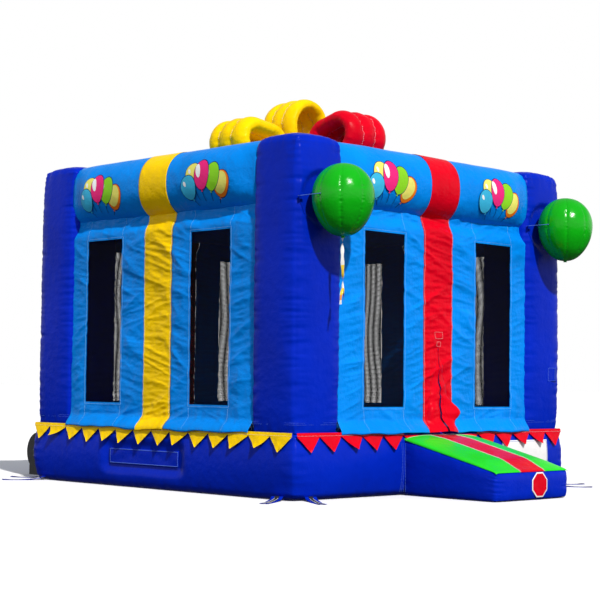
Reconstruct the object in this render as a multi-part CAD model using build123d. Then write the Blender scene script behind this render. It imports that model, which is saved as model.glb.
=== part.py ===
"""Inflatable bounce house with an entrance ramp, a bow on the roof and its blower.

Millimetres, +Z up. The origin is on the ground under the middle of the square bed.
The front, with the door and the ramp, faces -Y, and the left side faces -X.
"""

from build123d import *
from math import hypot
import os

# Driving dimensions of the house
HOUSE = 4570  # across the corner columns, both ways
BED_HEIGHT = 710
BED_OVERHANG = 15  # the bed stands this far outside the columns
COLUMN = 677  # side of a square corner column
HOUSE_HEIGHT = 3817  # top of the columns and beams
BEAM_BOTTOM = 3138
BEAM_DEPTH = 560
BEAM_ROUND = 150  # radius of the beams' edges
SKIN = 15  # wall of an inflated chamber
FABRIC = 12  # wall panels
SEAM = 1  # gap between sewn neighbours
RIBBON = 494  # width of the coloured bands

# Walls, measured from the middle of each wall
WALL_FACE = 2261  # outer face of the slack walls
WINDOW_BOTTOM = 965
WINDOW_TOP = 2897
WINDOWS = ((-1226, -572), (670, 1332))  # near and far edges of each wall's two windows
SLIT_TOP = 1640
FLAP_GAP = 6  # from each hinge line of the door flaps
FLAP_HEM = 25  # the door flaps end this far above the foot of the wall

# Ramp
RAMP_WIDTH = 1272
RAMP_LENGTH = 1328
RAMP_BACK = 624
RAMP_FRONT = 304

# Balloons
BALLOON_WIDTH = 653
BALLOON_TOP = 3508
BALLOON_BOTTOM = 2742
BALLOON_STANDOFF = 335  # centre of a balloon in front of its column
BALLOON_WIDEST = BALLOON_TOP - 0.45 * (BALLOON_TOP - BALLOON_BOTTOM)  # height of its widest part

# Blower
BLOWER_X = -1625  # seam between its two housing shells
BLOWER_Y = 2947
BLOWER_Z = 300
BLOWER_R = 250
BLOWER_HALF = 175  # half its width
BLOWER_WALL = 6
OUTLET_Z = 150  # centre of the outlet and of the inflation tube
OUTLET_HALF = 100  # half the outlet's height

HALF = HOUSE / 2
BED_HALF = HALF + BED_OVERHANG
INNER = HALF - COLUMN  # half the span between columns
FLOOR_SHEET = 8
TRIM = 4  # thickness of sewn-on trim


def block(x0, x1, y0, y1, z0, z1):
    """A box between two corners."""
    return Pos((x0 + x1) / 2, (y0 + y1) / 2, (z0 + z1) / 2) * Box(x1 - x0, y1 - y0, z1 - z0)


def placed(part, side):
    """A part of the front side, repeated on another side as its mirror image."""
    if side in ("left", "right"):
        part = mirror(part, Plane((0, 0, 0), z_dir=(1, -1, 0)))
    if side == "right":
        part = mirror(part, Plane.YZ)
    if side == "rear":
        part = mirror(part, Plane.XZ)
    return part


def write(name, *parts):
    """One STEP file for one node; several parts stay separate solids."""
    solids = [solid for part in parts for solid in part.solids()]
    export_step(solids[0] if len(solids) == 1 else Compound(solids), f"parts/{name}.step")


def plate(points, thickness, plane):
    """A flat plate from its outline on a plane."""
    outline = Polyline(*points, close=True)
    return extrude(plane * make_face(outline), amount=thickness)


def chamber(x0, x1, y0, y1, z0, z1, upright, top, bottom):
    """An inflated box: a closed shell with rounded upright, top and bottom edges."""

    def rounded(inset):
        body = block(x0 + inset, x1 - inset, y0 + inset, y1 - inset, z0 + inset, z1 - inset)
        body = fillet(body.edges().filter_by(Axis.Z), upright - inset)
        for faces, radius in ((-1, top), (0, bottom)):
            if radius:
                body = fillet(body.faces().sort_by(Axis.Z)[faces].edges(), radius - inset)
        return body

    return rounded(0) - rounded(SKIN)


# --- bounce bed -------------------------------------------------------------------------

SIDES = ("front", "right", "rear", "left")


def bed():
    return chamber(-BED_HALF, BED_HALF, -BED_HALF, BED_HALF, 0, BED_HEIGHT, 150, 60, 45)


def baffles():
    """Upright webs between the bed's floor and its bottom."""
    count = 6
    pitch = 2 * BED_HALF / (count + 1)
    reach = BED_HALF - 80
    for index in range(count):
        x = -BED_HALF + pitch * (index + 1)
        yield block(x - 4, x + 4, -reach, reach, SKIN + SEAM, BED_HEIGHT - SKIN - SEAM)


def notched_sheet(half, z, thickness):
    """A square sheet cut away at the four corner columns."""
    sheet = block(-half, half, -half, half, z, z + thickness)
    edge = INNER - SEAM
    for sx in (-1, 1):
        for sy in (-1, 1):
            corner = Box(2 * (half - edge), 2 * (half - edge), 4 * thickness)
            sheet -= Pos(sx * half, sy * half, z) * corner
    return sheet


def pennants(cleared):
    """A row of pennants on the front side: a header band and its points."""
    count = 14
    end = BED_HALF - 20
    top = BED_HEIGHT - 7
    header = 50
    drop = 150
    pitch = 2 * end / count
    points = [(-end, top), (end, top)]
    for index in range(count):
        right = end - pitch * index
        points.append((right, top - header))
        points.append((right - pitch / 2, top - header - drop))
    points.append((-end, top - header))
    row = plate(points, TRIM, Plane.XZ.offset(BED_HALF + TRIM + SEAM))
    if cleared:
        side = RAMP_WIDTH / 2 + SEAM
        row -= block(-side, side, -BED_HALF - 20, 0, 0, RAMP_BACK + 10)
    return row


# --- columns and beams ------------------------------------------------------------------


def column(sx, sy):
    xs = sorted((sx * INNER, sx * HALF))
    ys = sorted((sy * INNER, sy * HALF))
    return chamber(*xs, *ys, BED_HEIGHT, HOUSE_HEIGHT, 70, 40, 0)


def tube(profile, length):
    """A profile in the YZ plane, run along X and centred."""
    return extrude(Plane.YZ * profile, amount=length / 2, both=True)


def beam():
    """The front beam between two columns, a rounded box section."""
    length = 2 * (INNER - SEAM)
    height = HOUSE_HEIGHT - BEAM_BOTTOM
    outer = tube(RectangleRounded(BEAM_DEPTH, height, BEAM_ROUND), length)
    hollow = RectangleRounded(BEAM_DEPTH - 2 * SKIN, height - 2 * SKIN, BEAM_ROUND - SKIN)
    inner = tube(hollow, length - 2 * SKIN)
    return Pos(0, -HALF + BEAM_DEPTH / 2, (HOUSE_HEIGHT + BEAM_BOTTOM) / 2) * (outer - inner)


def beam_ribbon():
    """The coloured band round the outside of the front beam."""
    height = HOUSE_HEIGHT - BEAM_BOTTOM
    outer = RectangleRounded(BEAM_DEPTH + 2 * TRIM, height + 2 * TRIM, BEAM_ROUND + TRIM)
    inner = RectangleRounded(BEAM_DEPTH, height, BEAM_ROUND)
    band = tube(outer - inner, RIBBON)
    band = Pos(0, -HALF + BEAM_DEPTH / 2, (HOUSE_HEIGHT + BEAM_BOTTOM) / 2) * band
    outside = block(-HALF, HALF, -HALF - 50, -HALF + 250, BEAM_BOTTOM + 60, HOUSE_HEIGHT + 50)
    return band & outside


# --- walls ------------------------------------------------------------------------------

WALL_PLANE = Plane.XZ.offset(WALL_FACE - FABRIC)
WALL_BOTTOM = BED_HEIGHT + SEAM
WALL_TOP = BEAM_BOTTOM - SEAM


def wall_block(x0, x1, z0, z1, thickness=FABRIC):
    """A piece of the front wall; the thickness is centred in the fabric."""
    middle = -WALL_FACE + FABRIC / 2
    return block(x0, x1, middle - thickness / 2, middle + thickness / 2, z0, z1)


def wall_panels():
    """The front wall each side of its ribbon, with a window hole in each half."""
    edge = RIBBON / 2 + SEAM / 2
    for (x0, x1), (w0, w1) in zip(((-INNER + SEAM, -edge), (edge, INNER - SEAM)), WINDOWS):
        panel = wall_block(x0, x1, WALL_BOTTOM, WALL_TOP)
        yield panel - wall_block(w0, w1, WINDOW_BOTTOM, WINDOW_TOP, 3 * FABRIC)


def window_nets():
    for w0, w1 in WINDOWS:
        yield wall_block(w0 + SEAM, w1 - SEAM, WINDOW_BOTTOM + SEAM, WINDOW_TOP - SEAM, 5)


def wall_ribbon():
    return wall_block(-RIBBON / 2 + SEAM / 2, RIBBON / 2 - SEAM / 2, WALL_BOTTOM, WALL_TOP)


# The hinge line of a door flap runs from the top of the slit to the ribbon's lower corner.
EDGE_X = RIBBON / 2 - SEAM / 2
LINE_LENGTH = hypot(EDGE_X, SLIT_TOP - WALL_BOTTOM)
NORMAL_X = (SLIT_TOP - WALL_BOTTOM) / LINE_LENGTH
NORMAL_Z = EDGE_X / LINE_LENGTH


def line_x(z, offset):
    """Where a line beside the left hinge line, offset towards the slit, crosses height z."""
    return (offset - NORMAL_Z * (SLIT_TOP - z)) / NORMAL_X


def line_z(x, offset):
    """The height at which that line crosses x."""
    return SLIT_TOP - (offset - NORMAL_X * x) / NORMAL_Z


def front_ribbon():
    """The red ribbon over the slit, and its fixed corner each side of the slit."""
    top = SLIT_TOP - SEAM
    corner = plate(
        [(-EDGE_X, top), (line_x(top, -FLAP_GAP), top), (-EDGE_X, line_z(-EDGE_X, -FLAP_GAP))],
        FABRIC,
        WALL_PLANE,
    )
    return wall_block(-EDGE_X, EDGE_X, SLIT_TOP, WALL_TOP), corner, mirror(corner, Plane.YZ)


def door_flap():
    """The left flap of the entrance slit."""
    inner = -2
    low = WALL_BOTTOM + FLAP_HEM
    points = [(inner, line_z(inner, FLAP_GAP)), (inner, low), (line_x(low, FLAP_GAP), low)]
    return plate(points, FABRIC - 4, Plane.XZ.offset(WALL_FACE - FABRIC + 2))


# --- roof and bow -----------------------------------------------------------------------

ROOF_BEAM_R = 225
ROOF_Z = 3787
ROOF_HALF = 1782


def round_chamber(radius, length):
    """An inflated tube along X with closed ends."""
    outer = tube(Circle(radius), length)
    return outer - tube(Circle(radius - SKIN), length - 2 * SKIN)


def roof_beams():
    """One tube across from left to right, and two halves from front and rear to it."""
    z = ROOF_Z - SEAM - ROOF_BEAM_R
    span = 2 * (HALF - BEAM_DEPTH) - 2 * SEAM
    main = Pos(0, 0, z) * round_chamber(ROOF_BEAM_R, span)
    short = span / 2 - ROOF_BEAM_R - SEAM
    y = span / 2 - short / 2
    halves = [Pos(0, sy * y, z) * Rot(0, 0, 90) * round_chamber(ROOF_BEAM_R, short) for sy in (-1, 1)]
    return main, halves


def bow_loop(length, height, thickness, width):
    """A looped pillow: its length along X, its hole running through along Y."""

    def profile(inset):
        hole = SlotOverall(length - 2 * thickness + 2 * inset, height - 2 * thickness + 2 * inset)
        return SlotOverall(length - 2 * inset, height - 2 * inset) - hole

    outer = extrude(Plane.XZ * profile(0), amount=width / 2, both=True)
    return outer - extrude(Plane.XZ * profile(SKIN), amount=width / 2 - SKIN, both=True)


# name, centre (x, y, z), tilt of the outer end, its heading, and the loop's length, height,
# thickness and width
BOW = (
    ("bow_loop_left", (-885, 0, 4100), 8, 180, (830, 560, 190, 660)),
    ("bow_loop_right", (885, 0, 4100), 8, 0, (830, 560, 190, 660)),
    ("bow_loop_front", (0, -790, 4175), 14, 270, (820, 600, 190, 660)),
    ("bow_loop_rear", (0, 790, 4090), 8, 90, (820, 540, 190, 660)),
    ("bow_loop_centre", (-80, 0, 4285), 82, 180, (910, 690, 150, 560)),
)


# --- balloons ---------------------------------------------------------------------------


def balloon(x):
    """A teardrop shell, widest in its upper part."""
    radius = BALLOON_WIDTH / 2
    widest = BALLOON_WIDEST

    def body(inset):
        crown = (0, BALLOON_TOP - widest - inset)
        tip = (0, BALLOON_BOTTOM - widest + inset)
        outline = Spline(crown, (radius - inset, 0), tip, tangents=[(1, 0), (0, -1), (-1, 0)])
        return revolve(Plane.XZ * make_face([outline, Line(tip, crown)]), Axis.Z)

    return Pos(x, -HALF - BALLOON_STANDOFF, widest) * (body(0) - body(SKIN))


def balloon_ties(x):
    """Two short lashings from the column's face to the sides of the balloon."""
    z = BALLOON_WIDEST
    reach = BALLOON_WIDTH / 2 + 4
    for side in (-1, 1):
        lash = Cylinder(4, BALLOON_STANDOFF - 2)
        yield Pos(x + side * reach, -HALF - BALLOON_STANDOFF / 2 - 1, z) * Rot(90, 0, 0) * lash


def streamer():
    """A flat ribbon that hangs from the front left balloon."""
    x = -INNER - COLUMN / 2
    y = -HALF - BALLOON_STANDOFF
    return block(x - 20, x + 20, y - 3, y + 3, BALLOON_BOTTOM - 705, BALLOON_BOTTOM - 1)


# --- ramp -------------------------------------------------------------------------------

RAMP_Y0 = -BED_HALF - SEAM
RAMP_Y1 = -HALF - RAMP_LENGTH


def ramp_height(y):
    """Height of the ramp's top at a place along it."""
    share = (RAMP_Y0 - y) / (RAMP_Y0 - RAMP_Y1)
    return RAMP_BACK + share * (RAMP_FRONT - RAMP_BACK)


def ramp():
    def wedge(inset):
        points = [
            (RAMP_Y0 - inset, inset),
            (RAMP_Y0 - inset, ramp_height(RAMP_Y0 - inset) - inset),
            (RAMP_Y1 + inset, ramp_height(RAMP_Y1 + inset) - inset),
            (RAMP_Y1 + inset, inset),
        ]
        outline = make_face(Polyline(*points, close=True))
        return extrude(Plane.YZ * outline, amount=RAMP_WIDTH / 2 - inset, both=True)

    return wedge(0) - wedge(SKIN)


def ramp_stripe(x0, x1):
    points = [
        (RAMP_Y0, RAMP_BACK),
        (RAMP_Y0, RAMP_BACK + 6),
        (RAMP_Y1, RAMP_FRONT + 6),
        (RAMP_Y1, RAMP_FRONT),
    ]
    outline = make_face(Polyline(*points, close=True))
    return Pos(x0, 0, 0) * extrude(Plane.YZ * outline, amount=x1 - x0)


def octagon():
    """The patch on the front of the ramp."""
    badge = Rot(0, 0, 22.5) * RegularPolygon(145, 8)
    return Plane.XZ.offset(-RAMP_Y1) * Pos(80, 163, 0) * extrude(badge, amount=TRIM)


# --- patches, zipper and anchors --------------------------------------------------------

ZIP_Y0 = -480
ZIP_Y1 = 767
ZIP_TOP = 449
ZIP_BOTTOM = 262
COVER_X = -BED_HALF - 16  # outer layer of the deflation zipper


def blank_patches():
    """A blank white panel beside the ramp and a small patch on the right column."""
    panel = block(1090, 1970, -BED_HALF - TRIM, -BED_HALF, 270, 575)
    patch = block(2000, 2165, -HALF - TRIM, -HALF, 1275, 1460)
    return panel, patch


def zipper_cover():
    return block(COVER_X, COVER_X + 4, ZIP_Y0, ZIP_Y1, ZIP_BOTTOM, ZIP_TOP - SEAM)


def zipper_tape():
    middle = (ZIP_TOP + ZIP_BOTTOM) / 2
    return block(-BED_HALF - 3, -BED_HALF, ZIP_Y0 + 30, ZIP_Y1 - 30, middle - 22, middle + 22)


def zipper_slider():
    """The slider and its pull, at the closed end of the zipper."""
    middle = (ZIP_TOP + ZIP_BOTTOM) / 2
    y = ZIP_Y1 - 60
    head = block(-BED_HALF - 9, -BED_HALF - 3.3, y - 16, y + 16, middle - 9, middle + 9)
    pull = block(-BED_HALF - 8, -BED_HALF - 5, y - 5, y + 5, middle - 56, middle - 5)
    return head + pull


ANCHOR_LENGTH = 480
ANCHOR_HOLE_R = 16
ANCHOR_HOLE_AT = ANCHOR_LENGTH - 45
ANCHOR_FROM_CORNER = 210
ANCHOR_HEADING = 30  # degrees off square to the side, towards the corner


def anchors():
    """Tapered tabs on the ground, two at each corner, with webbing and a stake hole."""
    base_half = 65
    tip_half = 45
    outline = [(0, -base_half), (ANCHOR_LENGTH, -tip_half), (ANCHOR_LENGTH, tip_half), (0, base_half)]
    tab = plate(outline, 5, Plane.XY) - Pos(ANCHOR_HOLE_AT, 0, 0) * Cylinder(ANCHOR_HOLE_R, 40)
    webbing = block(30, ANCHOR_LENGTH, -24, 24, 5, 9)
    webbing -= Pos(ANCHOR_HOLE_AT, 0, 0) * Cylinder(ANCHOR_HOLE_R, 40)
    for quarter in range(4):
        for side in (-1, 1):
            heading = -90 + side * ANCHOR_HEADING
            place = Pos(side * (BED_HALF - ANCHOR_FROM_CORNER), -BED_HALF - 35, 0) * Rot(0, 0, heading)
            place = Rot(0, 0, 90 * quarter) * place
            yield place * tab, place * webbing


# --- blower -----------------------------------------------------------------------------


def on_side(sketch, x):
    """A sketch drawn about the blower's axis, placed on an upright plane at x."""
    return Plane((x, BLOWER_Y, BLOWER_Z), x_dir=(0, 1, 0), z_dir=(1, 0, 0)) * sketch


def scroll(inset):
    """Outline of the blower's scroll and its outlet duct, about its axis."""
    radius = BLOWER_R - inset
    duct_top = OUTLET_Z + OUTLET_HALF - BLOWER_Z - inset
    duct_bottom = OUTLET_Z - OUTLET_HALF - BLOWER_Z + inset
    duct = Rectangle(BLOWER_R + 8, duct_top - duct_bottom)
    return Circle(radius) + Pos(-BLOWER_R / 2 - 4, (duct_top + duct_bottom) / 2) * duct


def housing(side):
    """One half of the housing, with its half of the moulded handle and its foot."""
    outer_x = BLOWER_X + side * BLOWER_HALF
    shell = extrude(on_side(scroll(0), BLOWER_X), amount=side * BLOWER_HALF)
    hollow = extrude(on_side(scroll(BLOWER_WALL), BLOWER_X), amount=side * (BLOWER_HALF - BLOWER_WALL))
    hole = 92 if side < 0 else 30
    shell = shell - hollow - Pos(outer_x, BLOWER_Y, BLOWER_Z) * Rot(0, 90, 0) * Cylinder(hole, 40)
    grip = Pos(0, 280) * (Rectangle(230, 84) - Pos(0, -6) * Rectangle(180, 44))
    shell += extrude(on_side(grip, BLOWER_X), amount=side * 20) - extrude(
        on_side(Circle(BLOWER_R - BLOWER_WALL), BLOWER_X), amount=side * 20
    )
    foot_x = sorted((outer_x, outer_x - side * 60))
    foot = block(*foot_x, BLOWER_Y - 190, BLOWER_Y + 190, 0, 130)
    foot -= Pos(BLOWER_X, BLOWER_Y, BLOWER_Z) * Rot(0, 90, 0) * Cylinder(BLOWER_R - 3, 600)
    foot -= block(*foot_x, BLOWER_Y - BLOWER_R, BLOWER_Y - 20, 52, 260)
    return shell + foot


SWITCH_Y = BLOWER_Y + 130
SWITCH_Z = BLOWER_Z + 120
SWITCH_X = BLOWER_X + BLOWER_HALF


def switch_pocket():
    x, y, z = SWITCH_X, SWITCH_Y, SWITCH_Z
    boss = block(x, x + 16, y - 18, y + 18, z - 25, z + 25)
    return boss - block(x + 1, x + 17, y - 12, y + 12, z - 18, z + 18)


def rocker():
    return block(SWITCH_X + 5, SWITCH_X + 20, SWITCH_Y - 11, SWITCH_Y + 11, SWITCH_Z - 16, SWITCH_Z + 16)


def round_bar(radius, x0, x1):
    """A bar along the blower's axis."""
    return Pos((x0 + x1) / 2, BLOWER_Y, BLOWER_Z) * Rot(0, 90, 0) * Cylinder(radius, x1 - x0)


SHAFT_R = 8


def impeller():
    """Hub, back plate and blades, drawn about the blower's axis."""
    back_x = BLOWER_X + 90
    wheel = round_bar(170, back_x, back_x + 5) + round_bar(32, BLOWER_X + 20, back_x + 5)
    blades = 14
    for index in range(blades):
        blade = Pos(-60, 0, 138) * Box(120, 4, 64)
        wheel += Pos(back_x, BLOWER_Y, BLOWER_Z) * Rot(360 / blades * index, 0, 0) * blade
    ring = round_bar(170, back_x - 124, back_x - 119) - round_bar(110, back_x - 130, back_x - 110)
    wheel += ring
    return wheel - round_bar(SHAFT_R, BLOWER_X, back_x + 20)


def grille():
    """A round guard of bars over the intake."""
    outer_x = BLOWER_X - BLOWER_HALF
    guard = round_bar(108, outer_x - 5, outer_x) - round_bar(92, outer_x - 20, outer_x + 20)
    for index in range(-4, 5):
        z = BLOWER_Z + index * 20
        reach = (100**2 - (index * 20) ** 2) ** 0.5
        guard += block(outer_x - 5, outer_x - 1, BLOWER_Y - reach, BLOWER_Y + reach, z - 2, z + 2)
    return guard


def along_y(radius, y0, y1):
    """A bar along Y on the outlet's axis."""
    return Pos(BLOWER_X, (y0 + y1) / 2, OUTLET_Z) * Rot(90, 0, 0) * Cylinder(radius, y1 - y0)


def nozzle():
    face = BLOWER_Y - BLOWER_R - 8
    x0, x1 = BLOWER_X - BLOWER_HALF, BLOWER_X + BLOWER_HALF
    flange = block(x0, x1, face - 6, face, OUTLET_Z - OUTLET_HALF, OUTLET_Z + OUTLET_HALF)
    collar = along_y(96, face - 86, face - 6)
    return flange + collar - along_y(90, face - 90, face + 4)


def inflation_tube():
    start = BED_HALF + SEAM
    end = BLOWER_Y - BLOWER_R - 8 - 12
    return along_y(103, start, end) - along_y(97, start - 1, end + 1)


def tube_strap():
    """The strap that ties the tube on the nozzle, with its buckle."""
    y = BLOWER_Y - BLOWER_R - 55
    strap = along_y(107, y - 15, y + 15) - along_y(103.3, y - 20, y + 20)
    buckle = block(BLOWER_X - 24, BLOWER_X + 24, y - 20, y + 20, OUTLET_Z + 104.5, OUTLET_Z + 118)
    return strap + buckle


# --- the model --------------------------------------------------------------------------


def build_house():
    write("bounce_bed", bed())
    write("bed_baffles", *baffles())
    write("bounce_floor", notched_sheet(WALL_FACE - FABRIC - 20, BED_HEIGHT + SEAM, FLOOR_SHEET))
    for name, sx, sy in (
        ("front_left", -1, -1),
        ("front_right", 1, -1),
        ("rear_right", 1, 1),
        ("rear_left", -1, 1),
    ):
        write(f"column_{name}", column(sx, sy))
    for side in SIDES:
        write(f"beam_{side}", placed(beam(), side))
        write(f"wall_{side}", *(placed(panel, side) for panel in wall_panels()))
        write(f"window_nets_{side}", *(placed(net, side) for net in window_nets()))
    write("wall_ribbon_front", *front_ribbon())
    write("wall_ribbon_rear", placed(wall_ribbon(), "rear"))
    write("wall_ribbons_yellow", *(placed(wall_ribbon(), side) for side in ("left", "right")))
    write("door_flap_left", door_flap())
    write("door_flap_right", mirror(door_flap(), Plane.YZ))
    for colour, sides in (("red", ("front", "rear")), ("yellow", ("left", "right"))):
        write(f"beam_ribbons_{colour}", *(placed(beam_ribbon(), side) for side in sides))
        write(f"pennants_{colour}", *(placed(pennants(side == "front"), side) for side in sides))


def build_roof():
    write("roof_sheet", notched_sheet(ROOF_HALF, ROOF_Z, FLOOR_SHEET))
    main, halves = roof_beams()
    write("roof_beams", main, *halves)
    for name, centre, tilt, heading, sizes in BOW:
        loop = Rot(0, 0, heading) * Rot(0, -tilt, 0) * bow_loop(*sizes)
        write(name, Pos(*centre) * loop)


def build_balloons():
    for name, x in (("left", -INNER - COLUMN / 2), ("right", INNER + COLUMN / 2)):
        write(f"balloon_{name}", balloon(x))
        write(f"balloon_ties_{name}", *balloon_ties(x))
    write("balloon_streamer", streamer())


def build_ramp():
    write("ramp_body", ramp())
    edge = RAMP_WIDTH / 2
    third = RAMP_WIDTH / 6
    spans = ((-edge, -third - SEAM), (-third, third), (third + SEAM, edge))
    write("ramp_stripes", *(ramp_stripe(*span) for span in spans))
    write("ramp_octagon", octagon())


def build_fittings():
    write("blank_patches", *blank_patches())
    write("zipper_cover", zipper_cover())
    write("zipper_tape", zipper_tape())
    write("zipper_slider", zipper_slider())
    tabs, webbing = zip(*anchors())
    write("anchor_tabs", *tabs)
    write("anchor_webbing", *webbing)


def build_blower():
    write("blower_housing_left", housing(-1))
    write("blower_housing_right", housing(1) + switch_pocket())
    write("blower_switch", rocker())
    write("blower_impeller", impeller())
    motor = round_bar(78, SWITCH_X, SWITCH_X + 120) - round_bar(SHAFT_R + 0.05, SWITCH_X - 1, SWITCH_X + 60)
    write("blower_motor", motor)
    write("blower_shaft", round_bar(SHAFT_R, BLOWER_X + 21, SWITCH_X + 55))
    write("blower_grille", grille())
    write("blower_nozzle", nozzle())
    gland = round_bar(12, SWITCH_X + 120, SWITCH_X + 140) - round_bar(4, SWITCH_X + 119, SWITCH_X + 141)
    write("blower_cord_gland", gland)
    write("inflation_tube", inflation_tube())
    write("tube_strap", tube_strap())


os.makedirs("parts", exist_ok=True)
build_house()
build_roof()
build_balloons()
build_ramp()
build_fittings()
build_blower()
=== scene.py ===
"""Looks of an inflatable bounce house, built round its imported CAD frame. Metres, +Z up.

The front, with the door and the ramp, faces -Y, and the left side faces -X. Pieces that
repeat on the four sides are made for the front and then turned or mirrored to their side.
"""

from math import ceil, cos, hypot, pi, radians, sin

import bmesh
import bpy
import numpy as np
from mathutils import Matrix, Vector


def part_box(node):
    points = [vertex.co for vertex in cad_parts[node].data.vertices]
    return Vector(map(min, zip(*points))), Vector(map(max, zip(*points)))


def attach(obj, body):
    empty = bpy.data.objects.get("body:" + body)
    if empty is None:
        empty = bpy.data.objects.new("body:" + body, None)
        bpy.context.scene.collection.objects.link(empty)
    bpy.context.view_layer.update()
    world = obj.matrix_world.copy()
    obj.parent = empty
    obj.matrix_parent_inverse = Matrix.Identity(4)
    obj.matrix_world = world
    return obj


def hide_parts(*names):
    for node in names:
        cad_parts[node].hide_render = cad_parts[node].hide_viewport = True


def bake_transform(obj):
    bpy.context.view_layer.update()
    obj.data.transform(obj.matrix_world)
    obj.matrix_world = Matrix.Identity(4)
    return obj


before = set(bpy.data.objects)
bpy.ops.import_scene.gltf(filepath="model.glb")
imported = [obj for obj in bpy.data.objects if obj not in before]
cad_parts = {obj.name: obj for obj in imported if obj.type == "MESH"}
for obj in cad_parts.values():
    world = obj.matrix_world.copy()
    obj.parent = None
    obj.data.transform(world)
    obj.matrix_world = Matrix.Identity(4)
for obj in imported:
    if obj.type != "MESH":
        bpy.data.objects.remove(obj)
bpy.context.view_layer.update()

# --- camera -----------------------------------------------------------------------------

CAMERA_AT = Vector((-13.403, -13.655, 1.194))
CAMERA_YAW = radians(44.50)  # from +Y towards +X
CAMERA_PITCH = radians(3.18)
CAMERA_ROLL = radians(0.706)
CAMERA_LENS = 92.34


def make_camera():
    data = bpy.data.cameras.new("camera")
    data.sensor_width = 36
    data.lens = CAMERA_LENS
    data.clip_end = 500
    camera = bpy.data.objects.new("camera", data)
    bpy.context.scene.collection.objects.link(camera)
    ahead = Vector(
        (
            sin(CAMERA_YAW) * cos(CAMERA_PITCH),
            cos(CAMERA_YAW) * cos(CAMERA_PITCH),
            sin(CAMERA_PITCH),
        )
    )
    level = Vector((cos(CAMERA_YAW), -sin(CAMERA_YAW), 0))
    upright = level.cross(ahead)
    right = level * cos(CAMERA_ROLL) + upright * sin(CAMERA_ROLL)
    up = upright * cos(CAMERA_ROLL) - level * sin(CAMERA_ROLL)
    turn = Matrix((right, up, -ahead)).transposed().to_4x4()
    camera.matrix_world = Matrix.Translation(CAMERA_AT) @ turn
    bpy.context.scene.camera = camera


make_camera()

# --- sizes, from the frame --------------------------------------------------------------


def span(node):
    low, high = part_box(node)
    return np.array(low), np.array(high)


def part_span(node, side):
    """The lowest and highest x of the part of a node on one side of x = 0."""
    xs = np.array([v.co.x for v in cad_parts[node].data.vertices])
    xs = xs[xs * side > 0]
    return xs.min(), xs.max()


BED_LOW, BED_HIGH = span("bounce_bed")
BED_HALF = BED_HIGH[0]
BED_TOP = BED_HIGH[2]
COLUMN_LOW, COLUMN_HIGH = span("column_front_right")
INNER = COLUMN_LOW[0]
HALF = COLUMN_HIGH[0]
BEAM_LOW, BEAM_HIGH = span("beam_front")
BEAM_LOW[2] -= 0.045  # the fabric swells past the beam's design below
BEAM_HIGH[2] += 0.030  # and above
WALL_LOW, WALL_HIGH = span("wall_front")
WALL_Y = (WALL_LOW[1] + WALL_HIGH[1]) / 2
NET_LOW, NET_HIGH = span("window_nets_front")
WINDOWS = [part_span("window_nets_front", side) for side in (-1, 1)]
RIBBON_HALF = span("wall_ribbon_rear")[1][0]
SLIT_TOP = 1.640
RAMP_LOW, RAMP_HIGH = span("ramp_body")
VINYL_THICK = 0.002  # as shown, where the real coated vinyl is thinner

SIDES = ("front", "right", "rear", "left")
REFLECTED = ("left", "rear")


def to_side(points, side):
    """Points of a front piece, moved to where that piece is on another side."""
    x, y, z = points.T
    if side == "left":
        x, y = y, x
    elif side == "right":
        x, y = -y, x
    elif side == "rear":
        y = -y
    return np.stack([x, y, z], axis=1)


# --- noise ------------------------------------------------------------------------------

SLOPES = np.random.default_rng(7).normal(size=(256, 3))
SLOPES /= np.linalg.norm(SLOPES, axis=1, keepdims=True)


def noise(x, y=0.0, z=0.0, seed=0):
    """Smooth noise, about -1 to 1."""
    p = np.stack(np.broadcast_arrays(x, y, z), axis=-1).astype(float)
    shape = p.shape[:-1]
    p = p.reshape(-1, 3)
    cell = np.floor(p).astype(np.int64)
    part = p - cell
    ease = part**3 * (part * (part * 6 - 15) + 10)
    total = np.zeros(len(p))
    for corner in np.ndindex(2, 2, 2):
        at = cell + corner
        key = at[:, 0] * 73856093 ^ at[:, 1] * 19349663 ^ at[:, 2] * 83492791 ^ seed * 374761393
        slope = SLOPES[(key ^ key >> 8) & 255]
        weight = np.where(corner, ease, 1 - ease).prod(axis=1)
        total += weight * (slope * (part - corner)).sum(axis=1)
    return (total * 1.7).reshape(shape)


def creases(u, v, angle, along, across, seed):
    """Sharp ridges, 0 to 1, that run in one direction of the (u, v) plane."""
    slow = (u * cos(angle) + v * sin(angle)) * along
    fast = (v * cos(angle) - u * sin(angle)) * across
    bend = 0.35 * noise(slow * 1.7, fast * 0.5, seed + 0.5, seed)
    return (1 - np.minimum(1, np.abs(noise(slow, fast + bend, seed * 1.37, seed)) * 2.6)) ** 1.5


def smooth_step(x, low, high):
    share = np.clip((x - low) / (high - low), 0, 1)
    return share * share * (3 - 2 * share)


# --- meshes -----------------------------------------------------------------------------


def grid_faces(rows, columns, wrap_rows=False, wrap_columns=False):
    """Four-cornered faces between the points of a grid, row after row."""
    index = np.arange(rows * columns).reshape(rows, columns)
    if wrap_rows:
        index = np.concatenate([index, index[:1]])
    if wrap_columns:
        index = np.concatenate([index, index[:, :1]], axis=1)
    corners = (index[:-1, :-1], index[:-1, 1:], index[1:, 1:], index[1:, :-1])
    return np.stack(corners, axis=-1).reshape(-1, 4)


def weld(obj):
    """Joins points that lie on each other, where two grids meet."""
    join = obj.modifiers.new("join", "WELD")
    join.merge_threshold = 0.0004


def thicken(obj, thick):
    solid = obj.modifiers.new("thickness", "SOLIDIFY")
    solid.thickness = thick
    solid.offset = 0


def moved(points, place):
    """Points turned and shifted by a matrix."""
    turn = np.array(place)
    return points @ turn[:3, :3].T + turn[:3, 3]


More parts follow.
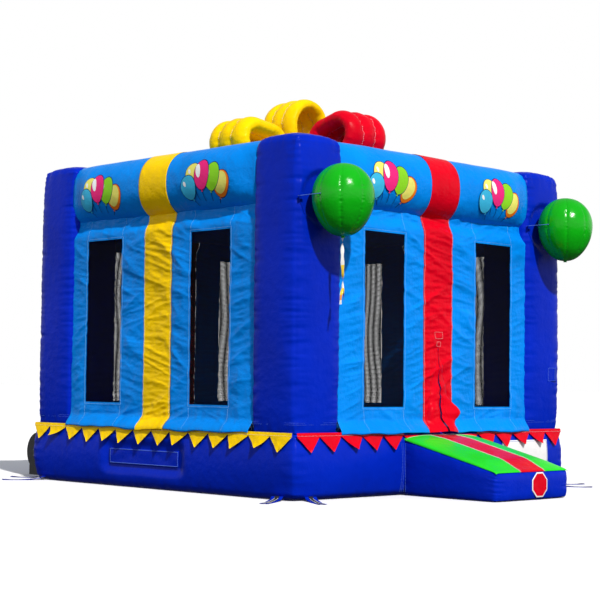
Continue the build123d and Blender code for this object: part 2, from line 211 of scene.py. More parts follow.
def hoop(axis, at, middle, reach, count):
    """A ring of points round X, axis 0, or Y, axis 1, at a place along it."""
    turn = np.linspace(0, 2 * pi, count, endpoint=False)
    ring = np.empty((count, 3))
    ring[:, axis] = at
    ring[:, 1 - axis] = middle[0] + reach * np.cos(turn)
    ring[:, 2] = middle[1] + reach * np.sin(turn)
    return ring


class Mesh:
    """Points and faces gathered for one piece, each face with the number of its material."""

    def __init__(self):
        self.points = []
        self.faces = []
        self.paints = []
        self.count = 0

    def add(self, points, faces, paint=0):
        points = np.asarray(points, float).reshape(-1, 3)
        for face in faces:
            self.faces.append([int(i) + self.count for i in face])
        self.paints += [paint] * len(faces)
        self.points.append(points)
        self.count += len(points)

    def grid(self, points, paint=0, wrap_rows=False, wrap_columns=False, flip=False):
        """A grid of points, an array of rows by columns by 3."""
        faces = grid_faces(*points.shape[:2], wrap_rows, wrap_columns)
        self.add(points, faces[:, ::-1] if flip else faces, paint)

    def tube(self, rings, paint=0):
        """A tube through rings of points, closed at both ends."""
        rows, columns = rings.shape[:2]
        faces = [list(face) for face in grid_faces(rows, columns, wrap_columns=True)]
        faces.append(list(range(columns))[::-1])
        faces.append([(rows - 1) * columns + i for i in range(columns)])
        self.add(rings, faces, paint)

    def piece(self, name, materials, body="house", replaces=(), side="front", thick=0.0, flat=False):
        """The finished Blender object, riding on its body. A body of None leaves it unattached."""
        points = to_side(np.concatenate(self.points), side)
        faces = [f[::-1] for f in self.faces] if side in REFLECTED else self.faces
        mesh = bpy.data.meshes.new(name)
        mesh.from_pydata(points.tolist(), [], faces)
        mesh.polygons.foreach_set("material_index", self.paints)
        mesh.polygons.foreach_set("use_smooth", [not flat] * len(faces))
        mesh.update()
        for material in materials:
            mesh.materials.append(material)
        obj = bpy.data.objects.new(name, mesh)
        bpy.context.scene.collection.objects.link(obj)
        if thick:
            thicken(obj, thick)
        if replaces:
            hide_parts(*replaces)
        if body:
            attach(obj, body)
        return obj


def samples(low, high, radius, step):
    """Places along an axis of a rounded box: even between its rounded ends."""
    bend = radius * np.tan(np.linspace(0, pi / 4, 5))
    count = max(2, round((high - low - 2 * radius) / step) + 1)
    middle = np.linspace(low + radius, high - radius, count)
    return np.concatenate([low + radius - bend[:0:-1], middle, high - radius + bend[1:]])


def box_lattice(xs, ys, zs):
    """Points and faces of the outside of a lattice."""
    outside = np.ones((len(xs), len(ys), len(zs)), bool)
    outside[1:-1, 1:-1, 1:-1] = False
    index = np.zeros(outside.shape, int)
    index[outside] = np.arange(outside.sum())
    i, j, k = np.nonzero(outside)
    faces = []
    for layer, flip in (
        (index[:, :, 0], True),
        (index[:, :, -1], False),
        (index[:, 0], False),
        (index[:, -1], True),
        (index[0], True),
        (index[-1], False),
    ):
        quads = np.stack([layer[:-1, :-1], layer[1:, :-1], layer[1:, 1:], layer[:-1, 1:]], axis=-1)
        faces.append(quads.reshape(-1, 4)[:, :: -1 if flip else 1])
    return np.stack([xs[i], ys[j], zs[k]], axis=1), np.concatenate(faces)


def inflated_box(low, high, radius, steps, belly, pucker, seed):
    """A box swollen by air: round edges, faces that belly out, and puckers along its seams."""
    low, high = np.array(low, float), np.array(high, float)
    axes = [samples(low[k], high[k], radius, steps[k]) for k in range(3)]
    lattice, faces = box_lattice(*axes)
    core = np.clip(lattice, low + radius, high - radius)
    away = lattice - core
    normal = away / np.linalg.norm(away, axis=1, keepdims=True)
    points = core + normal * radius
    share = np.clip((points - low) / (high - low), 0, 1) * 2 - 1
    swell = 1 - share**4
    edge = np.minimum(points - low, high - points)
    out = np.zeros(len(points))
    for k in range(3):
        a, b = [m for m in range(3) if m != k]
        out += normal[:, k] ** 2 * belly[k] * swell[:, a] * swell[:, b]
        near = np.exp(-(edge[:, a] ** 2 + edge[:, b] ** 2) / (2.2 * radius) ** 2)
        rank = np.sign(share[:, a]) * 3.3 + np.sign(share[:, b]) * 7.7
        along = noise(points[:, k] * 15, points[:, a] * 1.5 + rank, points[:, b] * 1.5, seed + k)
        out -= pucker * near * (0.3 + 1.4 * np.abs(along))
    out += 0.5 * pucker * noise(*(points * 1.6).T, seed=seed + 5)
    return points + normal * out[:, None], faces


def rounded_section(half_width, half_height, power, count):
    """Points round a box-like oval, as (across, up)."""
    turn = np.linspace(0, 2 * pi, count, endpoint=False)
    across = half_width * np.sign(np.cos(turn)) * np.abs(np.cos(turn)) ** (2 / power)
    up = half_height * np.sign(np.sin(turn)) * np.abs(np.sin(turn)) ** (2 / power)
    return across, up


# --- materials --------------------------------------------------------------------------


def node(tree, kind, **values):
    made = tree.nodes.new(kind)
    for key, value in values.items():
        if hasattr(made, key):
            setattr(made, key, value)
        else:
            made.inputs[key.replace("_", " ").title()].default_value = value
    return made


def shaded(colour, factor):
    return tuple(min(1.0, c * factor) for c in colour) + (1.0,)


def surface(name, colour, rough, patch=1.6, contrast=0.22, grain=900, grain_depth=0.00012,
            crinkle=22, crinkle_depth=0.002, coat=0.0, metal=0.0, specular=0.5, sheen=0.0):
    """A material whose colour and gloss vary in patches, with crinkles and a fine grain."""
    material = bpy.data.materials.new(name)
    material.use_nodes = True
    tree = material.node_tree
    shader = tree.nodes["Principled BSDF"]
    shader.inputs["Metallic"].default_value = metal
    shader.inputs["Specular IOR Level"].default_value = specular
    shader.inputs["Coat Weight"].default_value = coat
    shader.inputs["Coat Roughness"].default_value = 0.18
    shader.inputs["Sheen Weight"].default_value = sheen
    place = node(tree, "ShaderNodeTexCoord").outputs["Object"]

    def cloud(scale, detail):
        made = node(tree, "ShaderNodeTexNoise", Scale=scale, Detail=detail, Roughness=0.55)
        tree.links.new(place, made.inputs["Vector"])
        return made.outputs["Fac"]

    paint = node(tree, "ShaderNodeValToRGB")
    paint.color_ramp.elements[0].position = 0.3
    paint.color_ramp.elements[1].position = 0.7
    paint.color_ramp.elements[0].color = shaded(colour, 1 - contrast)
    paint.color_ramp.elements[1].color = shaded(colour, 1 + contrast / 2)
    tree.links.new(cloud(patch, 5), paint.inputs["Fac"])
    tree.links.new(paint.outputs["Color"], shader.inputs["Base Color"])
    gloss = node(tree, "ShaderNodeMapRange")
    gloss.inputs["To Min"].default_value = rough[0]
    gloss.inputs["To Max"].default_value = rough[1]
    tree.links.new(cloud(patch * 3.1, 6), gloss.inputs["Value"])
    tree.links.new(gloss.outputs["Result"], shader.inputs["Roughness"])
    wrinkle = node(tree, "ShaderNodeBump", Strength=1.0, Distance=crinkle_depth)
    tree.links.new(cloud(crinkle, 5), wrinkle.inputs["Height"])
    weave = node(tree, "ShaderNodeTexVoronoi", Scale=grain)
    tree.links.new(place, weave.inputs["Vector"])
    fine = node(tree, "ShaderNodeBump", Strength=0.6, Distance=grain_depth)
    tree.links.new(weave.outputs["Distance"], fine.inputs["Height"])
    tree.links.new(wrinkle.outputs["Normal"], fine.inputs["Normal"])
    tree.links.new(fine.outputs["Normal"], shader.inputs["Normal"])
    return material


def vinyl(name, colour, **changes):
    look = {"rough": (0.24, 0.38), "specular": 0.05, "crinkle": 9, "crinkle_depth": 0.007, "contrast": 0.14}
    return surface(name, colour, **{**look, **changes})


ROYAL = vinyl("royal_blue_vinyl", (0.0006, 0.019, 0.46))
SKY = vinyl("sky_blue_vinyl", (0.0008, 0.235, 0.80), crinkle=6, crinkle_depth=0.02)
YELLOW = vinyl("yellow_vinyl", (0.93, 0.60, 0.001), crinkle_depth=0.014)
RED = vinyl("red_vinyl", (0.66, 0.0008, 0.013), crinkle_depth=0.012)
LIME = vinyl("lime_vinyl", (0.022, 0.62, 0.022))
GREEN = vinyl("balloon_green_vinyl", (0.004, 0.40, 0.006), rough=(0.17, 0.25), specular=0.25)
FLOOR = vinyl("floor_vinyl", (0.004, 0.16, 0.52), rough=(0.45, 0.6))
WHITE = vinyl("white_vinyl", (0.80, 0.80, 0.80), contrast=0.06)
NET = surface("black_net", (0.0022, 0.0028, 0.0045), (0.6, 0.8), grain=1500, specular=0.1)
THREAD = surface("white_thread", (0.75, 0.76, 0.78), (0.6, 0.8), contrast=0.1, grain=2500)
BLUE_THREAD = surface("blue_thread", (0.10, 0.22, 0.72), (0.5, 0.7), contrast=0.1, grain=2500)
PALE_THREAD = surface("pale_blue_thread", (0.30, 0.62, 0.90), (0.5, 0.7), contrast=0.1, grain=2500)
WEBBING = surface("black_webbing", (0.012, 0.012, 0.014), (0.6, 0.8), grain=700, grain_depth=0.0004)
NYLON = surface("zipper_nylon", (0.014, 0.015, 0.02), (0.4, 0.6), grain=1200)
ZINC = surface("zipper_zinc", (0.45, 0.45, 0.47), (0.25, 0.4), metal=1.0, contrast=0.15)
STEEL = surface("steel", (0.55, 0.55, 0.57), (0.2, 0.35), metal=1.0, contrast=0.12)
MOULDED = surface("moulded_plastic", (0.016, 0.017, 0.02), (0.42, 0.58), patch=5, grain=350,
                  grain_depth=0.0004, crinkle=60, crinkle_depth=0.0003)
PAINTED = surface("painted_metal", (0.09, 0.09, 0.10), (0.3, 0.45), patch=8, metal=0.4, grain=500)
INK = {
    "dark": vinyl("ink_dark_blue", (0.004, 0.012, 0.10)),
    "blue": vinyl("ink_light_blue", (0.045, 0.46, 0.74)),
    "cream": vinyl("ink_pale_yellow", (0.82, 0.78, 0.16)),
    "pink": vinyl("ink_pink", (0.80, 0.022, 0.20)),
    "lime": vinyl("ink_lime", (0.24, 0.62, 0.02)),
    "orange": vinyl("ink_orange", (0.85, 0.20, 0.01)),
    "white": vinyl("ink_white", (0.85, 0.88, 0.9)),
}

# --- stitching --------------------------------------------------------------------------


def stitches(mesh, path, out, pitch=0.016, length=0.010, width=0.0028, height=0.0022, paint=0):
    """A row of stitches along a path of points, standing on the side that out points to."""
    path = np.asarray(path, float)
    out = np.broadcast_to(np.asarray(out, float), path.shape)
    gaps = np.linalg.norm(np.diff(path, axis=0), axis=1)
    along = np.concatenate([[0], np.cumsum(gaps)])
    count = max(1, int(along[-1] / pitch))
    middles = (np.arange(count) + 0.5) * along[-1] / count

    def at(distance):
        return np.stack([np.interp(distance, along, path[:, k]) for k in range(3)], axis=1)

    lift = np.stack([np.interp(middles, along, out[:, k]) for k in range(3)], axis=1)
    lift /= np.linalg.norm(lift, axis=1, keepdims=True)
    start, end = at(middles - length / 2), at(middles + length / 2)
    run = end - start
    run /= np.maximum(np.linalg.norm(run, axis=1, keepdims=True), 1e-9)
    aside = np.cross(lift, run) * width / 2
    top = lift * height
    for k in range(count):
        box = []
        for base in (start[k], end[k]):
            crest = base + top[k]
            box += [base - aside[k], base + aside[k], crest + aside[k] * 0.6, crest - aside[k] * 0.6]
        sides = [(i, (i + 1) % 4, (i + 1) % 4 + 4, i + 4) for i in range(4)]
        mesh.add(box, [*sides, (3, 2, 1, 0), (4, 5, 6, 7)], paint)


def stitched_frame(mesh, low, high, inset, count, surface, out, **look):
    """Stitches round a rectangle of a surface, inset from its edges."""
    (a0, b0), (a1, b1) = (low[0] + inset, low[1] + inset), (high[0] - inset, high[1] - inset)
    corners = ((a0, b0), (a1, b0), (a1, b1), (a0, b1))
    share = np.linspace(0, 1, count)
    for k in range(4):
        (aa, ba), (ab, bb) = corners[k], corners[(k + 1) % 4]
        stitches(mesh, surface(aa + share * (ab - aa), ba + share * (bb - ba)), out, **look)


# --- bounce bed -------------------------------------------------------------------------


BED_BELLY = 0.034


def zipper_dent(y, z):
    """1 on the left of the bed where the zipper keeps its side flat, and 0 away from it."""
    low, high = span("zipper_cover")
    aside = np.maximum(np.maximum(low[1] - y, y - high[1]), 0)
    above = np.maximum(np.maximum(low[2] - z, z - high[2]), 0)
    return 1 - smooth_step(np.hypot(aside, above), 0.01, 0.15)


def make_bed():
    bed = Mesh()
    points, faces = inflated_box(
        BED_LOW, BED_HIGH, 0.075, (0.045, 0.045, 0.02), (0.02, 0.02, 0.0), 0.010, 11
    )
    side_share = np.clip(points[:, 2] / BED_TOP, 0, 1)
    belly = BED_BELLY * np.sin(pi * side_share)
    reach = np.maximum(np.abs(points[:, 0]), np.abs(points[:, 1])) > BED_HALF - 0.06
    for k in range(2):
        on_side = np.abs(points[:, k]) > BED_HALF - 0.06
        points[:, k] += np.where(reach, np.sign(points[:, k]) * belly * on_side, 0)
    points[:, 2] = np.maximum(points[:, 2], 0)
    beyond = np.minimum(points[:, 0] + BED_HALF, 0)
    points[:, 0] -= beyond * zipper_dent(points[:, 1], points[:, 2])
    bed.add(points, faces)
    obj = bed.piece("bounce_bed_skin", [ROYAL], replaces=["bounce_bed"])


def bed_front(x, z):
    """How far forward the swollen front of the bed stands at a place on it."""
    rise = np.clip(z / BED_TOP, 0, 1)
    belly = BED_BELLY * np.sin(pi * rise) + 0.020 * (1 - (2 * rise - 1) ** 4) * (1 - (x / BED_HALF) ** 4)
    return BED_HALF + belly


def make_baffles():
    baffles = Mesh()
    low, high = span("bed_baffles")
    count = 6
    pitch = 2 * BED_HALF / (count + 1)
    ys = np.linspace(low[1], high[1], 60)
    zs = np.linspace(low[2] + 0.02, high[2] - 0.02, 9)
    y, z = np.meshgrid(ys, zs)
    for index in range(count):
        bow = 0.006 * noise(y * 2.0, z * 4.0, seed=index)
        x = -BED_HALF + pitch * (index + 1) + bow
        baffles.grid(np.stack([x, y, z], axis=-1))
    obj = baffles.piece(
        "bed_baffle_webs", [ROYAL], replaces=["bed_baffles"], thick=VINYL_THICK
    )


def make_floor():
    """The bouncing surface, with a long swell between each pair of baffles."""
    low, high = span("bounce_floor")
    floor = Mesh()
    xs = np.linspace(low[0], high[0], 150)
    ys = np.linspace(low[1], high[1], 60)
    x, y = np.meshgrid(xs, ys)
    pitch = 2 * BED_HALF / 7
    edge = smooth_step(high[0] - np.maximum(np.abs(x), np.abs(y)), 0, 0.15)
    swell = np.abs(np.sin(pi * (x + BED_HALF) / pitch)) ** 0.6
    z = high[2] - 0.004 + edge * (0.018 * swell + 0.004 * noise(x * 3, y * 3, seed=3))
    floor.grid(np.stack([x, y, z], axis=-1))
    obj = floor.piece(
        "bounce_floor_skin", [FLOOR], replaces=["bounce_floor"], thick=VINYL_THICK
    )


# --- columns and beams ------------------------------------------------------------------


COLUMN_SEAM = BED_TOP + 0.075


def widest_level(low, high):
    """The height at which a balloon is widest."""
    return high[2] - 0.45 * (high[2] - low[2])


def press_balloon(points, name):
    """Pushes a front column's face back where its balloon rests against it."""
    low, high = span(f"balloon_{name}")
    widest = widest_level(low, high)
    away = np.hypot(points[:, 0] - (low[0] + high[0]) / 2, points[:, 2] - widest)
    ahead = np.minimum(points[:, 1] + HALF - 0.010, 0)
    points[:, 1] -= ahead * (1 - smooth_step(away, 0.235, 0.325))


def make_columns():
    sink = 0.05  # the column's foot is let into the bed, where it is sewn on
    for index, (name, sx, sy) in enumerate(
        (("front_left", -1, -1), ("front_right", 1, -1), ("rear_right", 1, 1), ("rear_left", -1, 1))
    ):
        low, high = span(f"column_{name}")
        low[2] -= sink
        steps, belly = (0.03, 0.03, 0.016), (0.045, 0.045, 0.055)
        points, faces = inflated_box(low, high, 0.062, steps, belly, 0.011, 21 + index)
        if sy < 0:
            press_balloon(points, name.removeprefix("front_"))
        column = Mesh()
        column.add(points, faces)
        for level in (COLUMN_SEAM, COLUMN_SEAM + 0.02):
            out = 0.007
            path = [
                (sx * INNER, sy * (HALF + out), level),
                (sx * (HALF - 0.05), sy * (HALF + out), level),
                (sx * (HALF + out), sy * (HALF - 0.05), level),
                (sx * (HALF + out), sy * INNER, level),
            ]
            stitches(column, path, (sx, sy, 0), paint=1)
        obj = column.piece(
            f"column_{name}_skin", [ROYAL, BLUE_THREAD], replaces=[f"column_{name}"]
        )


BEAM_MIDDLE_Y = (BEAM_LOW[1] + BEAM_HIGH[1]) / 2
BEAM_MIDDLE_Z = (BEAM_LOW[2] + BEAM_HIGH[2]) / 2
BEAM_POWER = 2.9
BEAM_SWELL = 0.085


def beam_point(x, across, up, out, seed):
    """A place on the front beam's skin. across and up say where on its oval section."""
    half_y = (BEAM_HIGH[1] - BEAM_LOW[1]) / 2
    half_z = (BEAM_HIGH[2] - BEAM_LOW[2]) / 2
    facing = np.clip(-across / half_y, 0, 1)
    middle = 1 - np.clip(np.abs(up) / half_z, 0, 1) ** 2
    from_end = INNER - np.abs(x)
    swell = BEAM_SWELL * facing * middle * smooth_step(from_end, -0.02, 0.35)
    pinch = 0.012 * np.exp(-np.maximum(from_end, 0) / 0.10)
    gather = noise(up * 18, across * 18, x * 2, seed)
    out = out - pinch * (0.4 + np.abs(gather)) + 0.005 * noise(x * 2.2, up * 3, across * 3, seed + 1)
    scale = 1 + out / hypot(half_y, half_z)
    y = BEAM_MIDDLE_Y + across * scale - swell
    return np.stack(np.broadcast_arrays(x, y, BEAM_MIDDLE_Z + up * scale), axis=-1)


def beam_front_point(x, up, out, seed):
    """The same on the outer face, at a height up from the beam's middle."""
    half_y = (BEAM_HIGH[1] - BEAM_LOW[1]) / 2
    half_z = (BEAM_HIGH[2] - BEAM_LOW[2]) / 2
    across = -half_y * (1 - np.clip(np.abs(up) / half_z, 0, 1) ** BEAM_POWER) ** (1 / BEAM_POWER)
    return beam_point(x, across, up, out, seed)


def beam_band(x0, x1, step, out, seed, front_only=False):
    half_y = (BEAM_HIGH[1] - BEAM_LOW[1]) / 2
    half_z = (BEAM_HIGH[2] - BEAM_LOW[2]) / 2
    across, up = rounded_section(half_y, half_z, BEAM_POWER, 96)
    if front_only:
        keep = (across < -half_y + 0.34) & (up > -half_z * 0.93)
        start = int(np.argmax(up * keep))
        order = np.roll(np.arange(96), -start)
        order = order[keep[order]]
        across, up = across[order], up[order]
        by_turn = np.argsort(np.arctan2(-across, -up) % (2 * pi))
        across, up = across[by_turn], up[by_turn]
    xs = np.linspace(x0, x1, max(2, ceil((x1 - x0) / step)))
    return beam_point(xs[:, None], across[None], up[None], out, seed)


def make_beams():
    reach = INNER + 0.03
    for index, side in enumerate(SIDES):
        beam = Mesh()
        beam.tube(beam_band(-reach, reach, 0.03, 0.0, 31 + index)[::-1])
        obj = beam.piece(f"beam_{side}_skin", [SKY], replaces=[f"beam_{side}"], side=side)


def make_beam_ribbons():
    for colour, material, sides in (("red", RED, ("front", "rear")), ("yellow", YELLOW, ("left", "right"))):
        ribbons = Mesh()
        for side in sides:
            seed = 31 + SIDES.index(side)
            band = beam_band(-RIBBON_HALF, RIBBON_HALF, 0.02, 0.006, seed, front_only=True)
            rows, columns = band.shape[:2]
            points = to_side(band.reshape(-1, 3), side).reshape(rows, columns, 3)
            ribbons.grid(points, flip=side not in REFLECTED)
        name, slot = f"beam_ribbons_{colour}", f"{colour}_vinyl"
        obj = ribbons.piece(f"{name}_skin", [material], replaces=[name], thick=VINYL_THICK)


# --- balloon prints on the beams --------------------------------------------------------

# ink, middle (across, up), half width, half height and lean of each printed balloon
PRINT = (
    ("orange", (0.265, -0.050), 0.130, 0.150, -0.40),
    ("lime", (0.125, 0.040), 0.125, 0.155, -0.20),
    ("cream", (-0.195, 0.085), 0.125, 0.125, 0.22),
    ("pink", (-0.045, 0.070), 0.130, 0.160, 0.00),
    ("blue", (-0.265, -0.050), 0.130, 0.130, 0.34),
)
PRINT_KNOT = (0.0, -0.29)


def print_shape(mesh, outline_scale, spec, centre, seed, out, paint, flip):
    """One printed balloon as a thin leaf on the beam's face."""
    (middle_x, middle_z), half_width, half_height, lean = spec
    rings = []
    for share in (0.0, 0.25, 0.5, 0.75, 1.0):
        turn = np.linspace(0, 2 * pi, 28, endpoint=False)
        taper = 1 - 0.16 * (1 - np.sin(turn)) / 2
        u = share * outline_scale * half_width * np.cos(turn) * taper
        v = share * outline_scale * half_height * np.sin(turn)
        x = middle_x + u * cos(lean) - v * sin(lean)
        z = middle_z + u * sin(lean) + v * cos(lean)
        rings.append(beam_front_point(centre[0] + flip * x, centre[1] + z, out, seed))
    mesh.grid(np.array(rings), paint, wrap_columns=True, flip=flip > 0)


def print_strip(mesh, start, end, width, centre, seed, out, paint, flip):
    """A printed string or knot between two points."""
    share = np.linspace(0, 1, 6)[:, None]
    start, end = np.array(start), np.array(end)
    run = (end - start) / np.linalg.norm(end - start)
    aside = np.array([-run[1], run[0]])
    middle = start + (end - start) * share
    sides = [middle - aside * width[0] * (1 - share) - aside * width[1] * share,
             middle + aside * width[0] * (1 - share) + aside * width[1] * share]
    rows = [beam_front_point(centre[0] + flip * s[:, 0], centre[1] + s[:, 1], out, seed) for s in sides]
    mesh.grid(np.array(rows), paint, flip=flip < 0)


def make_prints():
    inks = list(INK)
    materials = [INK[name] for name in inks]
    spots = ((-0.90, -0.040), (0.985, -0.040))
    for side in SIDES:
        seed = 31 + SIDES.index(side)
        flip = -1 if side in REFLECTED else 1
        for number, spot in enumerate(spots):
            art = Mesh()
            for layer, (ink, middle, half_width, half_height, lean) in enumerate(PRINT):
                out = 0.0025 + 0.0040 * layer
                spec = (middle, half_width, half_height, lean)
                foot = (middle[0] + half_height * sin(lean), middle[1] - half_height * cos(lean))
                tail = (foot[0] * 0.75 + PRINT_KNOT[0] * 0.25, foot[1] * 0.4 + PRINT_KNOT[1] * 0.6)
                print_strip(art, foot, tail, (0.004, 0.003), spot, seed, out, inks.index("dark"), flip)
                print_shape(art, 1.06, spec, spot, seed, out, inks.index("dark"), flip)
                print_shape(art, 1.0, spec, spot, seed, out + 0.0010, inks.index(ink), flip)
                if ink == "orange":
                    inner = (middle[0] - 0.008, middle[1] + 0.014)
                    core = (inner, 0.82 * half_width, 0.84 * half_height, lean)
                    print_shape(art, 1.0, core, spot, seed, out + 0.0020, inks.index("cream"), flip)
                knot = (foot[0] + 0.022 * sin(lean), foot[1] - 0.022 * cos(lean))
                print_strip(art, foot, knot, (0.004, 0.014), spot, seed, out + 0.0004, inks.index(ink), flip)
                bold = 2.0 if ink == "pink" else 1.0
                shine = (middle[0] - 0.46 * half_width, middle[1] + 0.30 * half_height)
                gleam = (shine, 0.16 * half_width * bold, 0.24 * half_height * bold, lean + 0.25)
                print_shape(art, 1.0, gleam, spot, seed, out + 0.0030, inks.index("white"), flip)
            art.piece(f"balloon_print_{side}_{number + 1}", materials, side=side)


# --- walls ------------------------------------------------------------------------------

WALL_STEP = 0.014
SKIRT_Z = 0.680  # the wall's skirt hangs over the bed's edge down to here
WALL_REACH = 0.06  # the wall's top is tucked under the beam by this much
WALL_RECESS = 0.06  # and leans back by this much under it
WALL_TUCK = 0.02  # and its sides behind the columns' round edges
WALL_TOP = WALL_HIGH[2] + WALL_REACH
FRONT_SEED = 41


def wall_point(x, z, seed, out=0.0):
    """A place on the slack front wall, its skirt included."""
    from_column = INNER - np.abs(x)
    slack = 0.35 + 0.65 * smooth_step(from_column, 0.0, 0.25)
    slack = slack * (0.6 + 0.4 * smooth_step(np.abs(np.abs(x) - RIBBON_HALF), 0.0, 0.08))
    for w0, w1 in WINDOWS:
        dx = np.maximum(np.maximum(w0 - x, x - w1), 0)
        dz = np.maximum(np.maximum(NET_LOW[2] - z, z - NET_HIGH[2]), 0)
        slack = slack * (0.45 + 0.55 * smooth_step(np.hypot(dx, dz), 0.0, 0.16))
    sag = 0.014 * noise(x * 1.1, z * 0.9, seed=seed)
    tension = smooth_step(noise(x * 0.9, z * 0.9, seed=seed + 12), -0.25, 0.25)
    loose = 1 + 0.5 * (np.abs(x) < RIBBON_HALF)
    fold = (
        0.019 * tension * creases(x, z, 0.50, 0.6, 3.6, seed + 1)
        + 0.019 * (1 - tension) * creases(x, z, -0.42, 0.6, 3.8, seed + 2)
        + 0.009 * loose * tension * creases(x, z, 0.28, 1.0, 9.5, seed + 3)
        + 0.009 * loose * (1 - tension) * creases(x, z, -0.20, 1.0, 9.0, seed + 4)
        + 0.004 * loose * creases(x, z, 0.05, 2.0, 17.0, seed + 5)
    )
    foot = np.exp(-np.maximum(z - BED_TOP, 0) / 0.22)
    head = np.exp(-np.maximum(WALL_HIGH[2] - z, 0) / 0.16)
    gather = 0.010 * foot * noise(x * 13, z * 1.2, seed=seed + 6)
    gather = gather + 0.008 * head * noise(x * 11, z, seed=seed + 7)
    skirt = smooth_step(-z, -(BED_TOP + 0.13), -(BED_TOP - 0.02))
    hem = 0.032 + 0.034 * smooth_step(from_column, 0.0, 0.35) + 0.012 * noise(x * 4, 0, 0, seed + 8)
    flare = skirt * (BED_HALF + hem + WALL_Y)
    tucked = WALL_RECESS * smooth_step(z, NET_HIGH[2] + 0.04, BEAM_LOW[2])
    y = WALL_Y + tucked - slack * (sag + fold) * (1 - skirt) - gather * (1 - 0.6 * skirt) - flare - out
    return np.stack(np.broadcast_arrays(x, y, z), axis=-1)


def even(low, high, step):
    return np.linspace(low, high, max(2, ceil((high - low) / step) + 1))


def skirt_drop(x, z, seed):
    """Lets the hem of the skirt wave up and down."""
    share = smooth_step(-z, -BED_TOP, -SKIRT_Z)
    return z + share * 0.020 * noise(x * 3.5, 0.3, 0.7, seed + 9)


def wall_grid(xs, zs, seed, out=0.0):
    x, z = np.meshgrid(xs, zs)
    return wall_point(x, skirt_drop(x, z, seed), seed, out)


def make_walls():
    levels = (SKIRT_Z, NET_LOW[2], NET_HIGH[2], WALL_TOP)
    z_rows = [even(low, high, WALL_STEP) for low, high in zip(levels, levels[1:])]
    for index, side in enumerate(SIDES):
        seed = 41 + 10 * index
        wall = Mesh()
        reach = INNER + WALL_TUCK
        for (w0, w1), x0, x1 in zip(WINDOWS, (-reach, RIBBON_HALF), (-RIBBON_HALF, reach)):
            columns = (even(x0, w0, WALL_STEP), even(w0, w1, WALL_STEP), even(w1, x1, WALL_STEP))
            for i, xs in enumerate(columns):
                for j, zs in enumerate(z_rows):
                    if (i, j) != (1, 1):
                        wall.grid(wall_grid(xs, zs, seed))
        obj = wall.piece(f"wall_{side}_skin", [SKY], replaces=[f"wall_{side}"], side=side)
        weld(obj)
        thicken(obj, VINYL_THICK)
        make_window_hems(side, seed)


def make_window_hems(side, seed):
    """The doubled strip welded round each window, with its stitches."""
    hems = Mesh()
    wide = 0.034
    loops = []
    for w0, w1 in WINDOWS:
        corners = ((w0, NET_LOW[2]), (w1, NET_LOW[2]), (w1, NET_HIGH[2]), (w0, NET_HIGH[2]))
        lean = ((-1, -1), (1, -1), (1, 1), (-1, 1))
        rings = []
        for share in (-0.12, 0.0, 0.5, 1.0):
            ring = []
            for k in range(4):
                (xa, za), (xb, zb) = corners[k], corners[(k + 1) % 4]
                (la, ma), (lb, mb) = lean[k], lean[(k + 1) % 4]
                count = ceil(hypot(xb - xa, zb - za) / WALL_STEP)
                t = np.arange(count) / count
                grow = wide * share
                x = xa + la * grow + t * (xb + lb * grow - xa - la * grow)
                z = za + ma * grow + t * (zb + mb * grow - za - ma * grow)
                ring.append(np.stack([x, z], axis=1))
            ring = np.concatenate(ring)
            rings.append(wall_point(ring[:, 0], ring[:, 1], seed, 0.0025 if share > 0 else 0.001))
        hems.grid(np.array(rings), wrap_columns=True)
        loops.append(rings[2])
    for loop in loops:
        stitches(hems, np.concatenate([loop, loop[:1]]), (0, -1, 0), paint=1)
    for x in [edge for window in WINDOWS for edge in window]:
        for z0, z1 in ((SKIRT_Z + 0.02, NET_LOW[2] - wide), (NET_HIGH[2] + wide, WALL_HIGH[2])):
            zs = even(z0, z1, 0.02)
            stitches(hems, wall_point(np.full_like(zs, x), zs, seed, 0.002), (0, -1, 0), paint=1)
    hems.piece(f"window_hems_{side}", [SKY, PALE_THREAD], side=side)


def make_nets():
    """Knotless netting: crossed cords over each window."""
    pitch = 0.014
    half = 0.0017
    for index, side in enumerate(SIDES):
        net = Mesh()
        for w0, w1 in WINDOWS:
            for low, high, start, end, upright in (
                (w0, w1, NET_LOW[2], NET_HIGH[2], True),
                (NET_LOW[2], NET_HIGH[2], w0, w1, False),
            ):
                count = round((high - low) / pitch)
                along = np.linspace(start, end, 12 if upright else 6)
                for at in low + (np.arange(count) + 0.5) * (high - low) / count:
                    x, z = (np.full_like(along, at), along) if upright else (along, np.full_like(along, at))
                    sway = 0.008 * noise(x * 1.5, z * 1.2, seed=index + 90)
                    y = WALL_Y + 0.003 - sway + (half * 0.8 if upright else -half * 0.8)
                    ring = []
                    for turn in (0.25, 0.75, 1.25, 1.75):
                        aside, out = 1.414 * half * cos(turn * pi), 1.414 * half * sin(turn * pi)
                        cord = [x + aside * upright, y + out, z + aside * (not upright)]
                        ring.append(np.stack(cord, axis=1))
                    rings = np.array(ring).transpose(1, 0, 2)
                    net.tube(rings[:, ::-1] if upright else rings)
        obj = net.piece(f"window_nets_{side}_mesh", [NET], replaces=[f"window_nets_{side}"], side=side)


def ribbon_stitches(mesh, side_x, z0, z1, seed, paint):
    zs = even(z0, z1, 0.03)
    for x in (-side_x, side_x):
        path = wall_point(np.full_like(zs, x), zs, seed, 0.0055)
        stitches(mesh, path, (0, -1, 0), paint=paint)


def slit_edge(z):
    """How far from the middle the door flaps' hinge lines are at height z."""
    return RIBBON_HALF * np.clip((SLIT_TOP - z) / (SLIT_TOP - WALL_LOW[2]), 0, 1)


